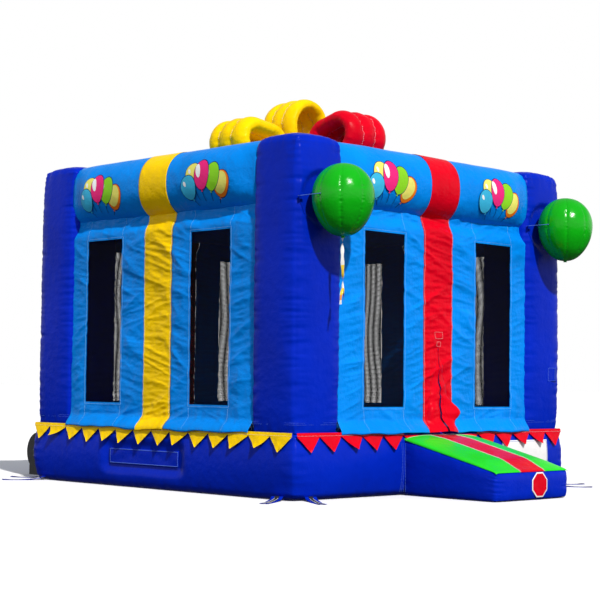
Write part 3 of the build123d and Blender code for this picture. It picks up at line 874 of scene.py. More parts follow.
def make_ribbons():
    for side in ("rear", "left", "right"):
        seed = 41 + 10 * SIDES.index(side)
        ribbon = Mesh()
        xs = even(-RIBBON_HALF, RIBBON_HALF, WALL_STEP)
        ribbon.grid(wall_grid(xs, even(SKIRT_Z - 0.005, WALL_TOP, WALL_STEP), seed, 0.004))
        ribbon_stitches(ribbon, RIBBON_HALF - 0.012, BED_TOP, WALL_HIGH[2], seed, 1)
        if side == "rear":
            material, slot, node_name = RED, "red_vinyl", "wall_ribbon_rear"
        else:
            material, slot, node_name = YELLOW, "yellow_vinyl", "wall_ribbons_yellow"
        materials = [material, THREAD]
        obj = ribbon.piece(f"wall_ribbon_{side}_skin", materials, replaces=[node_name], side=side)


def make_front_ribbon():
    """The red ribbon above the slit and its fixed corner each side of the flaps."""
    ribbon = Mesh()
    columns = even(-1, 1, 2 * WALL_STEP / (2 * RIBBON_HALF))
    x, z = np.meshgrid(columns * RIBBON_HALF, even(SLIT_TOP, WALL_TOP, WALL_STEP))
    ribbon.grid(wall_point(x, z, FRONT_SEED, 0.004))
    share = np.linspace(0, 1, 10)
    zs = even(SKIRT_Z, SLIT_TOP, WALL_STEP)
    for sign in (-1, 1):
        edge = slit_edge(zs) + 0.001
        x = sign * (RIBBON_HALF + (edge - RIBBON_HALF)[:, None] * share[None])
        z = np.broadcast_to(zs[:, None], x.shape)
        ribbon.grid(wall_point(x, skirt_drop(x, z, FRONT_SEED), FRONT_SEED, 0.004), flip=sign > 0)
    ribbon_stitches(ribbon, RIBBON_HALF - 0.012, BED_TOP, WALL_HIGH[2], FRONT_SEED, 1)
    for low, half_wide, tall in ((SLIT_TOP + 0.015, 0.035, 0.055), (SLIT_TOP + 0.105, 0.065, 0.075)):
        reinforcement(ribbon, low, half_wide, tall)
    obj = ribbon.piece("wall_ribbon_front_skin", [RED, THREAD], replaces=["wall_ribbon_front"])


def reinforcement(mesh, low, half_wide, tall):
    """A small stitched patch above the slit."""
    x, z = np.meshgrid(np.linspace(-half_wide, half_wide, 8), np.linspace(low, low + tall, 8))
    mesh.grid(wall_point(x, z, FRONT_SEED, 0.0065))

    def above(x, z):
        return wall_point(x, z, FRONT_SEED, 0.0085)

    corner, far = (-half_wide, low), (half_wide, low + tall)
    stitched_frame(mesh, corner, far, 0, 6, above, (0, -1, 0), length=0.009, paint=1)


def make_flaps():
    """The two flaps of the slit, which hang slack and curl out at their free corner."""
    for name, sign, flare, bulge in (("left", -1, 0.060, 0.05), ("right", 1, 0.078, 0.15)):
        flap = Mesh()
        down = np.linspace(0.03, 1, 46)[:, None]
        over = np.linspace(0, 1, 16)[None]
        z = SLIT_TOP + down * (SKIRT_Z + 0.006 - SLIT_TOP) * np.ones_like(over)
        hinge = slit_edge(z)
        x = hinge * (1 - over) + (0.003 + 0.007 * down) * over
        gone = flare * down**1.6 * over**1.3
        ripple = 0.010 * noise(over * 2.2 + 5 * sign, down * 6, seed=77) * over * (0.3 + down)
        hollow = 0.030 * np.sin(pi * over) * down
        base = wall_point(sign * x, z, FRONT_SEED, 0.004)
        lobe = np.exp(-(((down - 0.76) / 0.13) ** 2)) * np.sin(pi * over)
        base[..., 0] += sign * bulge * lobe
        base[..., 1] -= gone + ripple + hollow * 0.6 + 0.6 * bulge * lobe
        base[..., 2] += 0.25 * gone
        flap.grid(base, flip=sign < 0)
        edge = base[:, -2]
        stitches(flap, edge + np.array([0, -0.002, 0]), (0, -1, 0))
        door = f"door_flap_{name}"
        obj = flap.piece(f"{door}_skin", [RED], body=None, replaces=[door])
        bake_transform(obj)


# --- pennants ---------------------------------------------------------------------------


def make_pennants():
    low, high = span("pennants_yellow")
    count = 14
    end = high[1]
    top = high[2]
    header = 0.040
    drop = top - low[2] - header
    pitch = 2 * end / count
    gap = RAMP_HIGH[0] + 0.001
    for colour, material, sides in (("red", RED, ("front", "rear")), ("yellow", YELLOW, ("left", "right"))):
        rows = Mesh()
        for side in sides:
            seed = 61 + SIDES.index(side)
            row = Mesh()
            for index in range(count):
                middle = -end + pitch * (index + 0.5)
                over = np.linspace(-1, 1, 9)[None]
                down = np.linspace(0, 1, 9)[:, None]
                if side == "front" and abs(middle) < gap - pitch / 2:
                    continue
                lean = 0.55 * noise(np.array(index * 1.7), seed=seed)
                curled = abs(float(noise(np.array(index * 2.3), seed=seed + 5)))
                z = top - header - drop * down * (1 - 0.45 * curled * down) * np.ones_like(over)
                x = middle + over * pitch / 2 * (1 - 0.97 * down) + lean * drop * down
                curl = down**2 * (0.012 + 0.085 * curled) + 0.006 * noise(x * 16, z * 14, seed=seed + 9)
                bow = 0.010 * (1 - over**2) * (1 - down) + 0.012 * np.abs(over) * down
                y = -bed_front(x, z) - 0.012 - curl - bow
                row.grid(np.stack(np.broadcast_arrays(x, y, z), axis=-1))
            spans = ((-end, -gap), (gap, end)) if side == "front" else ((-end, end),)
            for x0, x1 in spans:
                xs = even(x0, x1, 0.03)
                x, z = np.meshgrid(xs, np.linspace(top - header - 0.002, top, 4))
                y = -bed_front(x, z) - 0.014 + 0.003 * noise(x * 6, z * 5, seed=seed)
                row.grid(np.stack(np.broadcast_arrays(x, y, z), axis=-1))
                seam = np.full_like(xs, top - header + 0.008)
                path = np.stack([xs, -bed_front(xs, seam) - 0.0185, seam], axis=1)
                stitches(row, path, (0, -1, 0), pitch=0.02, paint=1)
            points = to_side(np.concatenate(row.points), side)
            faces = [f[::-1] for f in row.faces] if side in REFLECTED else row.faces
            for paint in (0, 1):
                chosen = [f for f, p in zip(faces, row.paints) if p == paint]
                rows.add(points, chosen, paint)
        obj = rows.piece(
            f"pennants_{colour}_skin", [material, THREAD], replaces=[f"pennants_{colour}"]
        )
        clean(obj)


def clean(obj):
    """Drops points that no face uses."""
    mesh = obj.data
    used = np.zeros(len(mesh.loops), np.int32)
    mesh.loops.foreach_get("vertex_index", used)
    work = bmesh.new()
    work.from_mesh(mesh)
    for vertex in [v for v in work.verts if not v.link_faces]:
        work.verts.remove(vertex)
    work.to_mesh(mesh)
    work.free()


# --- roof and bow -----------------------------------------------------------------------


def make_roof():
    low, high = span("roof_sheet")
    roof = Mesh()
    xs = np.linspace(low[0], high[0], 130)
    x, y = np.meshgrid(xs, xs)
    on_beam = np.maximum(np.exp(-((y / 0.22) ** 2)), np.exp(-((x / 0.22) ** 2)))
    at_edge = smooth_step(np.maximum(np.abs(x), np.abs(y)), high[0] - 0.30, high[0])
    sag = 0.10 * (1 - np.maximum(on_beam, at_edge))
    wrinkle = 0.012 * creases(x, y, 0.8, 0.8, 3.0, 91) + 0.012 * creases(x, y, -0.7, 0.8, 3.0, 92)
    corner = (np.abs(x) > INNER - 0.002) & (np.abs(y) > INNER - 0.002)
    z = high[2] - 0.003 - sag + wrinkle * (1 - at_edge) - 0.02 * corner
    roof.grid(np.stack([x, y, z], axis=-1))
    obj = roof.piece("roof_sheet_skin", [SKY], replaces=["roof_sheet"], thick=VINYL_THICK)


def make_roof_beams():
    low, high = span("roof_beams")
    radius = (high[2] - low[2]) / 2
    middle = (high[2] + low[2]) / 2
    tubes = Mesh()
    turn = np.linspace(0, 2 * pi, 40, endpoint=False)

    def tube(start, end, along_x):
        places = np.linspace(start, end, max(2, round(abs(end - start) / 0.05)))
        share = np.clip(np.minimum(places - start, end - places) / 0.16, 0, 1)
        swell = np.sqrt(1 - (1 - share) ** 2 * 0.9)
        uneven = 1 + 0.02 * noise(places[:, None] * 6, np.cos(turn)[None] * 2, seed=95)
        ring = radius * swell[:, None] * uneven
        across, up = ring * np.cos(turn)[None], middle + ring * np.sin(turn)[None]
        along = places[:, None] * np.ones_like(across)
        order = (along, across, up) if along_x else (across, along, up)
        rings = np.stack(order, axis=-1)
        tubes.tube(rings[:, ::-1] if not along_x else rings)

    tube(low[0], high[0], True)
    tube(low[1], -radius - 0.002, False)
    tube(radius + 0.002, high[1], False)
    obj = tubes.piece("roof_beam_tubes", [SKY], replaces=["roof_beams"])


# name, material, centre, tilt of the outer end, its heading, and length, height, thickness
# and width, as in the design
BOW = (
    ("left", YELLOW, "yellow_vinyl", (-0.885, 0, 4.100), 8, 180, (0.83, 0.56, 0.19, 0.66)),
    ("right", YELLOW, "yellow_vinyl", (0.885, 0, 4.100), 8, 0, (0.83, 0.56, 0.19, 0.66)),
    ("front", RED, "red_vinyl", (0, -0.790, 4.175), 14, 270, (0.82, 0.60, 0.19, 0.66)),
    ("rear", RED, "red_vinyl", (0, 0.790, 4.090), 8, 90, (0.82, 0.54, 0.19, 0.66)),
    ("centre", YELLOW, "yellow_vinyl", (-0.080, 0, 4.285), 82, 180, (0.91, 0.69, 0.15, 0.56)),
)


def stadium(length, height, count):
    """A closed path of two half circles joined by straight runs, and its outward directions."""
    radius = height / 2
    straight = length - height
    whole = 2 * straight + 2 * pi * radius
    at = np.arange(count) / count * whole
    points = np.zeros((count, 2))
    out = np.zeros((count, 2))
    turn = pi * radius
    for k, s in enumerate(at):
        if s < straight:
            points[k], out[k] = (-straight / 2 + s, radius), (0, 1)
        elif s < straight + turn:
            a = pi / 2 - (s - straight) / radius
            points[k], out[k] = (straight / 2 + radius * cos(a), radius * sin(a)), (cos(a), sin(a))
        elif s < 2 * straight + turn:
            points[k], out[k] = (straight / 2 - (s - straight - turn), -radius), (0, -1)
        else:
            a = -pi / 2 - (s - 2 * straight - turn) / radius
            points[k], out[k] = (-straight / 2 + radius * cos(a), radius * sin(a)), (cos(a), sin(a))
    return points, out, at


def make_bow():
    count, around = 150, 72
    for index, (name, material, slot, centre, tilt, heading, size) in enumerate(BOW):
        length, height, thick, width = size
        path, out, at = stadium(length - thick, height - thick, count)
        turn = np.linspace(0, 2 * pi, around, endpoint=False)
        over = width / 2 * np.sign(np.cos(turn)) * np.abs(np.cos(turn)) ** 0.62
        depth = thick / 2 * np.sign(np.sin(turn)) * np.abs(np.sin(turn)) ** 0.62
        lobe = np.abs(np.cos(3 * pi * over / width))
        dip = np.exp(-((lobe / 0.42) ** 2))
        pucker = noise(at[:, None] * 22, over[None] * 5, np.sign(depth)[None] * 3.0, 101 + index)
        depth = depth[None] * (0.70 + 0.34 * lobe[None] ** 0.55 - 0.26 * dip[None] * (pucker + 0.2))
        wave = 0.010 * noise(at[:, None] * 3, over[None] * 3, seed=111 + index)
        side = over[None] * (1 + 0.02 * noise(at[:, None] * 12, seed=121 + index))
        x = path[:, None, 0] + out[:, None, 0] * (depth + wave)
        z = path[:, None, 1] + out[:, None, 1] * (depth + wave)
        points = np.stack([x, side * np.ones_like(x), z], axis=-1)
        spin = Matrix.Rotation(radians(heading), 4, "Z") @ Matrix.Rotation(-radians(tilt), 4, "Y")
        place = Matrix.Translation(centre) @ spin
        loop = Mesh()
        loop.grid(points, wrap_rows=True, wrap_columns=True)
        for seam in (-width / 6, width / 6):
            for face in (-1, 1):
                rank = np.argmin(np.abs(over - seam) + (np.sign(np.sin(turn)) != face) * 9)
                row = points[:, rank]
                lift = np.stack([out[:, 0] * face, np.zeros(count), out[:, 1] * face], axis=1)
                ring = row + lift * 0.002
                stitches(loop, np.concatenate([ring, ring[:1]]), np.concatenate([lift, lift[:1]]),
                         pitch=0.022, length=0.012, width=0.004, paint=1)
        loop.points = [moved(p, place) for p in loop.points]
        obj = loop.piece(f"bow_loop_{name}_skin", [material, THREAD], replaces=[f"bow_loop_{name}"])


# --- balloons ---------------------------------------------------------------------------


def make_balloons():
    gores = 8
    rows, columns = 130, 176
    for index, name in enumerate(("left", "right")):
        low, high = span(f"balloon_{name}")
        centre = (low + high) / 2
        radius = (high[0] - low[0]) / 2
        widest = widest_level(low, high)
        share = np.linspace(0.004, 0.996, rows)
        angle = pi * share
        z = np.where(
            angle < pi / 2,
            widest + (high[2] - widest) * np.cos(angle),
            widest - (widest - low[2]) * -np.cos(angle),
        )
        below = np.sin(angle) ** 0.86 * (1 - 0.13 * np.cos(angle) ** 2)
        plump = np.where(angle < pi / 2, np.sin(angle) ** 0.96, below)
        turn = np.linspace(0, 2 * pi, columns, endpoint=False)
        seam = np.abs(np.sin(gores / 2 * turn + 0.4))
        groove = np.exp(-((seam / 0.20) ** 2))[None]
        pucker = noise(z[:, None] * 34, np.round(turn * gores / 2 / pi)[None] * 3.1, seed=131 + index)
        dip = groove * (0.008 + 0.036 * np.abs(pucker))
        ring = radius * plump[:, None] * (0.985 + 0.020 * seam[None] ** 0.5 - dip)
        x = centre[0] + ring * np.cos(turn)[None]
        y = centre[1] + ring * np.sin(turn)[None]
        balloon = Mesh()
        rings = np.stack([x, y, z[:, None] * np.ones_like(x)], axis=-1)
        balloon.tube(rings[::-1])
        tip = np.array([centre[0], centre[1], low[2]])
        add_knot(balloon, tip)
        body = f"balloon_{name}"
        obj = balloon.piece(f"{body}_skin", [GREEN], body=body, replaces=[body])
        make_ties(name, centre, radius, widest)


def add_knot(mesh, tip):
    """The gathered spout under a balloon."""
    turn = np.linspace(0, 2 * pi, 24, endpoint=False)
    rings = []
    for drop, radius in ((0.012, 0.034), (-0.002, 0.018), (-0.006, 0.016), (-0.012, 0.021), (-0.014, 0.018)):
        wavy = radius * (1 + 0.14 * np.sin(7 * turn))
        x, y = tip[0] + wavy * np.cos(turn), tip[1] + wavy * np.sin(turn)
        rings.append(np.stack([x, y, np.full(24, tip[2] + drop)], axis=1))
    mesh.tube(np.array(rings)[::-1])


def make_ties(name, centre, radius, z):
    """Short lashings of twisted cord from the column's face to the balloon's sides."""
    low, high = span(f"balloon_ties_{name}")
    ties = Mesh()
    turn = np.linspace(0, 2 * pi, 8, endpoint=False)
    for side in (-1, 1):
        x = centre[0] + side * (radius + 0.004)
        ys = np.linspace(low[1] + 0.002, high[1] - 0.001, 60)
        for strand in (0, pi):
            wind = ys * 2 * pi / 0.03 + strand
            cx, cz = x + 0.002 * np.cos(wind), z + 0.002 * np.sin(wind)
            ring = np.stack(
                [
                    cx[:, None] + 0.0024 * np.cos(turn)[None],
                    ys[:, None] * np.ones(8)[None],
                    cz[:, None] + 0.0024 * np.sin(turn)[None],
                ],
                axis=-1,
            )
            ties.tube(ring[:, ::-1])
        inward, outward = (0.055, 0.012) if side > 0 else (0.012, 0.055)
        patch_x = even(x - inward, x + outward, 0.012)
        px, pz = np.meshgrid(patch_x, even(z - 0.035, z + 0.035, 0.012))
        py = np.full_like(px, -HALF - 0.036)
        ties.grid(np.stack([px, py, pz], axis=-1), paint=1)
    cord, materials = f"balloon_ties_{name}", [BLUE_THREAD, ROYAL]
    obj = ties.piece(f"{cord}_cord", materials, body=None, replaces=[cord])
    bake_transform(obj)


def streamer_film():
    """Shiny film whose colour changes along its length."""
    material = surface("streamer_film", (0.9, 0.9, 0.88), (0.12, 0.25), coat=0.3, contrast=0.05)
    tree = material.node_tree
    shader = tree.nodes["Principled BSDF"]
    low, high = span("balloon_streamer")
    place = node(tree, "ShaderNodeTexCoord")
    part = node(tree, "ShaderNodeSeparateXYZ")
    share = node(tree, "ShaderNodeMapRange")
    share.inputs["From Min"].default_value = low[2]
    share.inputs["From Max"].default_value = high[2]
    bands = node(tree, "ShaderNodeValToRGB")
    bands.color_ramp.interpolation = "CONSTANT"
    stops = (
        (0.0, (0.90, 0.85, 0.80)),
        (0.06, (0.85, 0.28, 0.02)),
        (0.14, (0.88, 0.60, 0.02)),
        (0.24, (0.85, 0.85, 0.82)),
        (0.40, (0.88, 0.62, 0.02)),
        (0.58, (0.85, 0.85, 0.82)),
    )
    ramp = bands.color_ramp
    ramp.elements[0].color = stops[0][1] + (1,)
    ramp.elements[1].position = stops[1][0]
    ramp.elements[1].color = stops[1][1] + (1,)
    for position, colour in stops[2:]:
        ramp.elements.new(position).color = colour + (1,)
    tree.links.new(place.outputs["Object"], part.inputs["Vector"])
    tree.links.new(part.outputs["Z"], share.inputs["Value"])
    tree.links.new(share.outputs["Result"], bands.inputs["Fac"])
    tree.links.new(bands.outputs["Color"], shader.inputs["Base Color"])
    return material


def make_streamer():
    """A flat ribbon that hangs twisted and ends in two tails."""
    low, high = span("balloon_streamer")
    middle = (low + high) / 2
    streamer = Mesh()
    fork = low[2] + 0.20
    for tail in (-1, 1):
        z = np.linspace(low[2] + (0.03 if tail > 0 else 0.0), fork, 26)
        drift = tail * 0.022 * smooth_step(fork - z, 0, 0.14)
        add_strip(streamer, middle, z, drift, 0.015, 1.2 * tail)
    z = np.linspace(fork, high[2] + 0.004, 70)
    add_strip(streamer, middle, z, np.zeros_like(z), 0.020, 0.0)
    obj = streamer.piece(
        "balloon_streamer_film",
        [streamer_film()],
        body="balloon_left",
        replaces=["balloon_streamer"],
    )


def add_strip(mesh, middle, z, drift, half, lean):
    over = np.linspace(-1, 1, 5)[None]
    twist = 9.0 * (z - z[0]) + 0.6 * np.sin(z * 14) + lean
    narrow = half * (0.72 + 0.28 * np.sin(z * 21) ** 2)
    sway = 0.006 * np.sin(z * 9)
    x = middle[0] + drift[:, None] + sway[:, None] + over * (narrow * np.cos(twist))[:, None]
    y = middle[1] + over * (narrow * np.sin(twist))[:, None]
    mesh.grid(np.stack([x, y, z[:, None] * np.ones_like(x)], axis=-1))


# --- ramp -------------------------------------------------------------------------------

RAMP_BACK = 0.624
RAMP_FRONT = 0.304
RAMP_CROWN = 0.055
RAMP_ROUND = 0.045


def ramp_height(y):
    share = (RAMP_HIGH[1] - y) / (RAMP_HIGH[1] - RAMP_LOW[1])
    return RAMP_BACK + share * (RAMP_FRONT - RAMP_BACK)


def ramp_crown(x, y):
    """How far the ramp's top swells over its flat design."""
    side = 1 - (x / RAMP_HIGH[0]) ** 4
    ends = smooth_step(y - RAMP_LOW[1], -0.02, 0.30) * (0.6 + 0.4 * smooth_step(RAMP_HIGH[1] - y, 0, 0.3))
    return RAMP_CROWN * side * ends


def make_ramp():
    low, high = RAMP_LOW.copy(), RAMP_HIGH.copy()
    points, faces = inflated_box(low, high, RAMP_ROUND, (0.03, 0.03, 0.02), (0.02, 0.02, 0.0), 0.009, 141)
    level = np.clip(points[:, 2] / high[2], 0, 1)
    height = ramp_height(np.clip(points[:, 1], low[1], high[1]))
    points[:, 2] = level * height + level**3 * ramp_crown(points[:, 0], points[:, 1])
    ramp = Mesh()
    ramp.add(points, faces)
    zs = even(0.04, RAMP_BACK - 0.05, 0.03)
    for side in (-1, 1):
        for gap in (0.030, 0.055):
            edge = np.full_like(zs, side * (high[0] + 0.003))
            path = np.stack([edge, np.full_like(zs, high[1] - gap), zs], axis=1)
            stitches(ramp, path, (side, 0, 0), paint=1)
            beside = np.full_like(zs, side * (high[0] + gap))
            face = -bed_front(beside, zs) - 0.002
            stitches(ramp, np.stack([beside, face, zs], axis=1), (0, -1, 0), paint=1)
    obj = ramp.piece("ramp_skin", [ROYAL, BLUE_THREAD], replaces=["ramp_body"])


def ramp_top(x, y, out):
    """A place on the ramp's top, at a height out over its skin, with the skin's round edges."""
    z = ramp_height(y) + ramp_crown(x, y) + out
    for gap in (RAMP_HIGH[0] - np.abs(x), y - RAMP_LOW[1]):
        inside = np.clip(RAMP_ROUND - gap, 0, RAMP_ROUND)
        z = z - (RAMP_ROUND - np.sqrt(RAMP_ROUND**2 - inside**2)) * ramp_height(y) / RAMP_BACK
    z = z + 0.001 * noise(x * 4, y * 4, seed=151)
    return np.stack(np.broadcast_arrays(x, y, z), axis=-1)


def make_ramp_stripes():
    edge = RAMP_HIGH[0] - 0.006
    third = RAMP_HIGH[0] / 3
    stripes = Mesh()
    ys = even(RAMP_LOW[1] + 0.004, RAMP_HIGH[1] - 0.002, 0.02)
    for x0, x1, paint in ((-edge, -third, 0), (-third, third, 1), (third, edge, 0)):
        x, y = np.meshgrid(even(x0, x1, 0.02), ys)
        stripes.grid(ramp_top(x, y, 0.010), paint)
    for x in (-third, third):
        for aside in (-0.008, 0.008):
            stitches(stripes, ramp_top(np.full_like(ys, x + aside), ys, 0.0105), (0, 0, 1), paint=2)
    back = even(-edge, edge, 0.03)
    for y in (RAMP_HIGH[1] - 0.02, RAMP_HIGH[1] - 0.05):
        stitches(stripes, ramp_top(back, np.full_like(back, y), 0.0105), (0, 0, 1), paint=2)
    obj = stripes.piece(
        "ramp_stripes_skin",
        [LIME, RED, THREAD],
        replaces=["ramp_stripes"],
        thick=VINYL_THICK,
    )


def make_octagon():
    """A plain red octagon with a white rim on the front of the ramp."""
    low, high = span("ramp_octagon")
    centre = (low + high) / 2
    radius = (high[0] - low[0]) / 2 / cos(pi / 8)
    badge = Mesh()

    def ring(scale, out):
        turn = pi / 8 + np.arange(48) / 48 * 2 * pi
        apothem = np.cos(pi / 8) / np.cos((turn - pi / 8) % (pi / 4) - pi / 8)
        reach = radius * scale * apothem
        x = centre[0] + reach * np.cos(turn)
        z = centre[2] + reach * np.sin(turn)
        return np.stack([x, np.full(48, low[1] - 0.022 - out), z], axis=1)

    badge.grid(np.array([ring(0.9, 0.002), ring(0.45, 0.002), ring(0.001, 0.002)]), 0, wrap_columns=True)
    badge.grid(np.array([ring(1.0, 0.0), ring(0.985, 0.0025), ring(0.89, 0.0025)]), 1, wrap_columns=True)
    badge.piece("ramp_octagon_patch", [RED, WHITE], replaces=["ramp_octagon"])


# --- patches, zipper and anchors --------------------------------------------------------


PATCH_INSET = 0.014  # from a patch's edge to its stitches


def make_patches():
    """The blank white panel beside the ramp and the small patch on the right column."""
    patches = Mesh()
    corners = np.array([v.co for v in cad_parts["blank_patches"].data.vertices])
    panel = corners[corners[:, 2] < 1]
    badge = corners[corners[:, 2] > 1]

    def ahead(x, z):
        on_bed = -bed_front(x, z) - 0.007
        on_column = -HALF - 0.040
        return np.where(z < 1, on_bed, on_column) + 0.003 * noise(x * 5, z * 5, seed=161)

    def above(x, z):
        return np.stack([x, ahead(x, z) - 0.002, z], axis=1)

    for group, material, thread in ((panel, 0, 2), (badge, 1, 2)):
        low, high = group.min(0), group.max(0)
        x, z = np.meshgrid(even(low[0], high[0], 0.03), even(low[2], high[2], 0.03))
        patches.grid(np.stack([x, ahead(x, z), z], axis=-1), material)
        stitched_frame(patches, low[::2], high[::2], PATCH_INSET, 40, above, (0, -1, 0), paint=thread)
    patches.piece(
        "blank_patches_skin",
        [WHITE, ROYAL, BLUE_THREAD],
        replaces=["blank_patches"],
        thick=VINYL_THICK,
    )


def make_zipper():
    """The deflation zipper on the left of the bed: tape, teeth, slider and its cover flap."""
    out = BED_HALF + 0.006
    low, high = span("zipper_tape")
    tape = Mesh()
    y, z = np.meshgrid(even(low[1], high[1], 0.03), even(low[2], high[2], 0.011))
    tape.grid(np.stack([np.full_like(y, -out + 0.004), y, z], axis=-1), flip=True)
    middle = (low[2] + high[2]) / 2
    for k, at in enumerate(np.arange(low[1] + 0.01, high[1] - 0.01, 0.006)):
        shift = 0.002 if k % 2 else -0.002
        deep, along = np.array([-out, -out + 0.003]), np.array([at, at + 0.0035])
        box, faces = box_lattice(deep, along, np.array([middle + shift - 0.005, middle + shift + 0.005]))
        tape.add(box, faces)
    tape.piece("zipper_tape_and_teeth", [NYLON], replaces=["zipper_tape"])

    low, high = span("zipper_slider")
    at = (low[1] + high[1]) / 2
    slider = Mesh()
    head_low, head_high = (-out - 0.004, at - 0.014, high[2] - 0.020), (-out + 0.002, at + 0.014, high[2])
    for a, b in (
        (head_low, head_high),
        ((-out - 0.008, at - 0.004, high[2] - 0.016), (-out - 0.003, at + 0.004, high[2] - 0.004)),
        ((-out - 0.007, at - 0.006, low[2]), (-out - 0.004, at + 0.006, high[2] - 0.012)),
    ):
        points, faces = inflated_box(a, b, 0.0014, (0.004, 0.004, 0.004), (0, 0, 0), 0.0, 1)
        slider.add(points, faces)
    body = "zipper_slider"
    slider.piece("zipper_slider_metal", [ZINC], body=body, replaces=[body])

    low, high = span("zipper_cover")
    cover = Mesh()

    def on_cover(y, z, extra=0.0):
        wave = 0.005 * noise(y * 4, z * 7, seed=171) * smooth_step(high[2] - z, 0, 0.08)
        return np.stack(np.broadcast_arrays(-out - 0.010 - wave - extra, y, z), axis=-1)

    y, z = np.meshgrid(even(low[1], high[1], 0.025), even(low[2], high[2], 0.018))
    cover.grid(on_cover(y, z), flip=True)

    def above(y, z):
        return on_cover(y, z, 0.0012)

    stitched_frame(cover, low[1:], high[1:], PATCH_INSET, 60, above, (-1, 0, 0), width=0.0045, paint=1)
    obj = cover.piece(
        "zipper_cover_flap",
        [ROYAL, BLUE_THREAD],
        body="zipper_cover",
        replaces=["zipper_cover"],
        thick=VINYL_THICK,
    )


ANCHOR_LENGTH = 0.480
ANCHOR_HOLE_R = 0.016
ANCHOR_HOLE_AT = ANCHOR_LENGTH - 0.045
ANCHOR_FROM_CORNER = 0.210
ANCHOR_HEADING = 30


def anchor_strip(mesh, half_base, half_tip, start, z_of, paint):
    """A flat strip that ends in a square with a hole for the stake."""
    square = ANCHOR_LENGTH - ANCHOR_HOLE_AT
    begin = ANCHOR_HOLE_AT - square

    def wide(x):
        return half_base + (half_tip - half_base) * x / ANCHOR_LENGTH

    x, v = np.meshgrid(even(start, begin, 0.02), np.linspace(-1, 1, 7))
    mesh.grid(np.stack([x, v * wide(x), z_of(x)], axis=-1), paint)
    turn = np.linspace(0, 2 * pi, 32, endpoint=False)
    reach = 1 / np.maximum(np.abs(np.cos(turn)), np.abs(np.sin(turn)))
    edge_x = ANCHOR_HOLE_AT + square * reach * np.cos(turn)
    edge_y = wide(edge_x) * reach * np.sin(turn)
    hole_x = ANCHOR_HOLE_AT + ANCHOR_HOLE_R * np.cos(turn)
    hole_y = ANCHOR_HOLE_R * np.sin(turn)
    rings = []
    for share in (0, 0.4, 1):
        x = hole_x + share * (edge_x - hole_x)
        rings.append(np.stack([x, hole_y + share * (edge_y - hole_y), z_of(x)], axis=1))
    mesh.grid(np.array(rings), paint, wrap_columns=True, flip=True)


def make_anchors():
    tabs = Mesh()
    straps = Mesh()

    def lift(x):
        return 0.0045 + 0.040 * np.exp(-np.maximum(x, 0) / 0.045) + 0.004 * np.sin(x * 15)

    for quarter in range(4):
        for side in (-1, 1):
            heading = radians(-90 + side * ANCHOR_HEADING)
            place = (
                Matrix.Rotation(radians(90 * quarter), 4, "Z")
                @ Matrix.Translation((side * (BED_HALF - ANCHOR_FROM_CORNER), -BED_HALF - 0.035, 0))
                @ Matrix.Rotation(heading, 4, "Z")
            )
            for group, half_base, half_tip, start, up in (
                (tabs, 0.065, 0.045, -0.04, 0.0),
                (straps, 0.024, 0.0235, 0.0, 0.004),
            ):
                part = Mesh()
                anchor_strip(part, half_base, half_tip, start, lambda x, up=up: lift(x) + up, 0)
                if group is straps:
                    xs = even(0.03, ANCHOR_HOLE_AT - 0.03, 0.02)
                    for y in (-0.018, 0.018):
                        path = np.stack([xs, np.full_like(xs, y), lift(xs) + up + 0.001], axis=1)
                        stitches(part, path, (0, 0, 1), paint=1)
                group.add(moved(np.concatenate(part.points), place), part.faces)
                group.paints[-len(part.paints):] = part.paints
    tab = tabs.piece("anchor_tabs_skin", [ROYAL], replaces=["anchor_tabs"])
    strap = straps.piece("anchor_webbing_straps", [WEBBING, THREAD], replaces=["anchor_webbing"])
    for obj, thick in ((tab, 0.004), (strap, 0.002)):
        weld(obj)
        thicken(obj, thick)


# --- blower -----------------------------------------------------------------------------


def make_inflation_tube():
    """The fabric tube from the bed to the blower, gathered where it is strapped on."""
    low, high = span("inflation_tube")
    centre = (low + high) / 2
    radius = (high[0] - low[0]) / 2
    ys = np.linspace(low[1] - 0.03, high[1], 60)
    turn = np.linspace(0, 2 * pi, 72, endpoint=False)
    strap = span("tube_strap")
    strap_y = (strap[0][1] + strap[1][1]) / 2
    near = np.exp(-(((ys - strap_y) / 0.05) ** 2))[:, None]
    pleat = np.abs(np.sin(turn * 13 + 0.8 * noise(turn * 3, seed=181)))[None]
    ring = radius * (1.03 - 0.05 * near) + 0.006 * near * pleat
    crumple = noise(ys[:, None] * 14, np.cos(turn)[None] * 3, np.sin(turn)[None] * 3, 183)
    ring = ring + 0.007 * crumple * (1 - near)
    x = centre[0] + ring * np.cos(turn)[None]
    z = centre[2] + ring * np.sin(turn)[None]
    tube = Mesh()
    tube.grid(np.stack([x, ys[:, None] * np.ones_like(x), z], axis=-1), wrap_columns=True, flip=True)
    obj = tube.piece(
        "inflation_tube_skin", [ROYAL], replaces=["inflation_tube"], thick=VINYL_THICK
    )

    band = Mesh()
    half = 0.015
    profile = ((-half, 0.004), (-half, 0.0075), (half, 0.0075), (half, 0.004))
    rings = [hoop(1, strap_y + y, centre[::2], radius + out, 72) for y, out in profile]
    band.grid(np.array(rings), wrap_rows=True, wrap_columns=True)
    buckle_z = centre[2] + radius + 0.011
    across = [((0.0, dy), (0.024, 0.003, 0.004), (0.008, 0.003, 0.003)) for dy in (-0.017, 0.017)]
    along = [((dx, 0.0), (0.003, 0.018, 0.0035), (0.003, 0.008, 0.003)) for dx in (-0.022, 0.0, 0.022)]
    for (dx, dy), half_size, steps in across + along:
        middle = np.array([centre[0] + dx, strap_y + dy, buckle_z])
        bar = inflated_box(middle - half_size, middle + half_size, 0.002, steps, (0, 0, 0), 0.0, 2)
        band.add(*bar, 1)
    band.piece("tube_strap_band", [WEBBING, MOULDED], replaces=["tube_strap"])


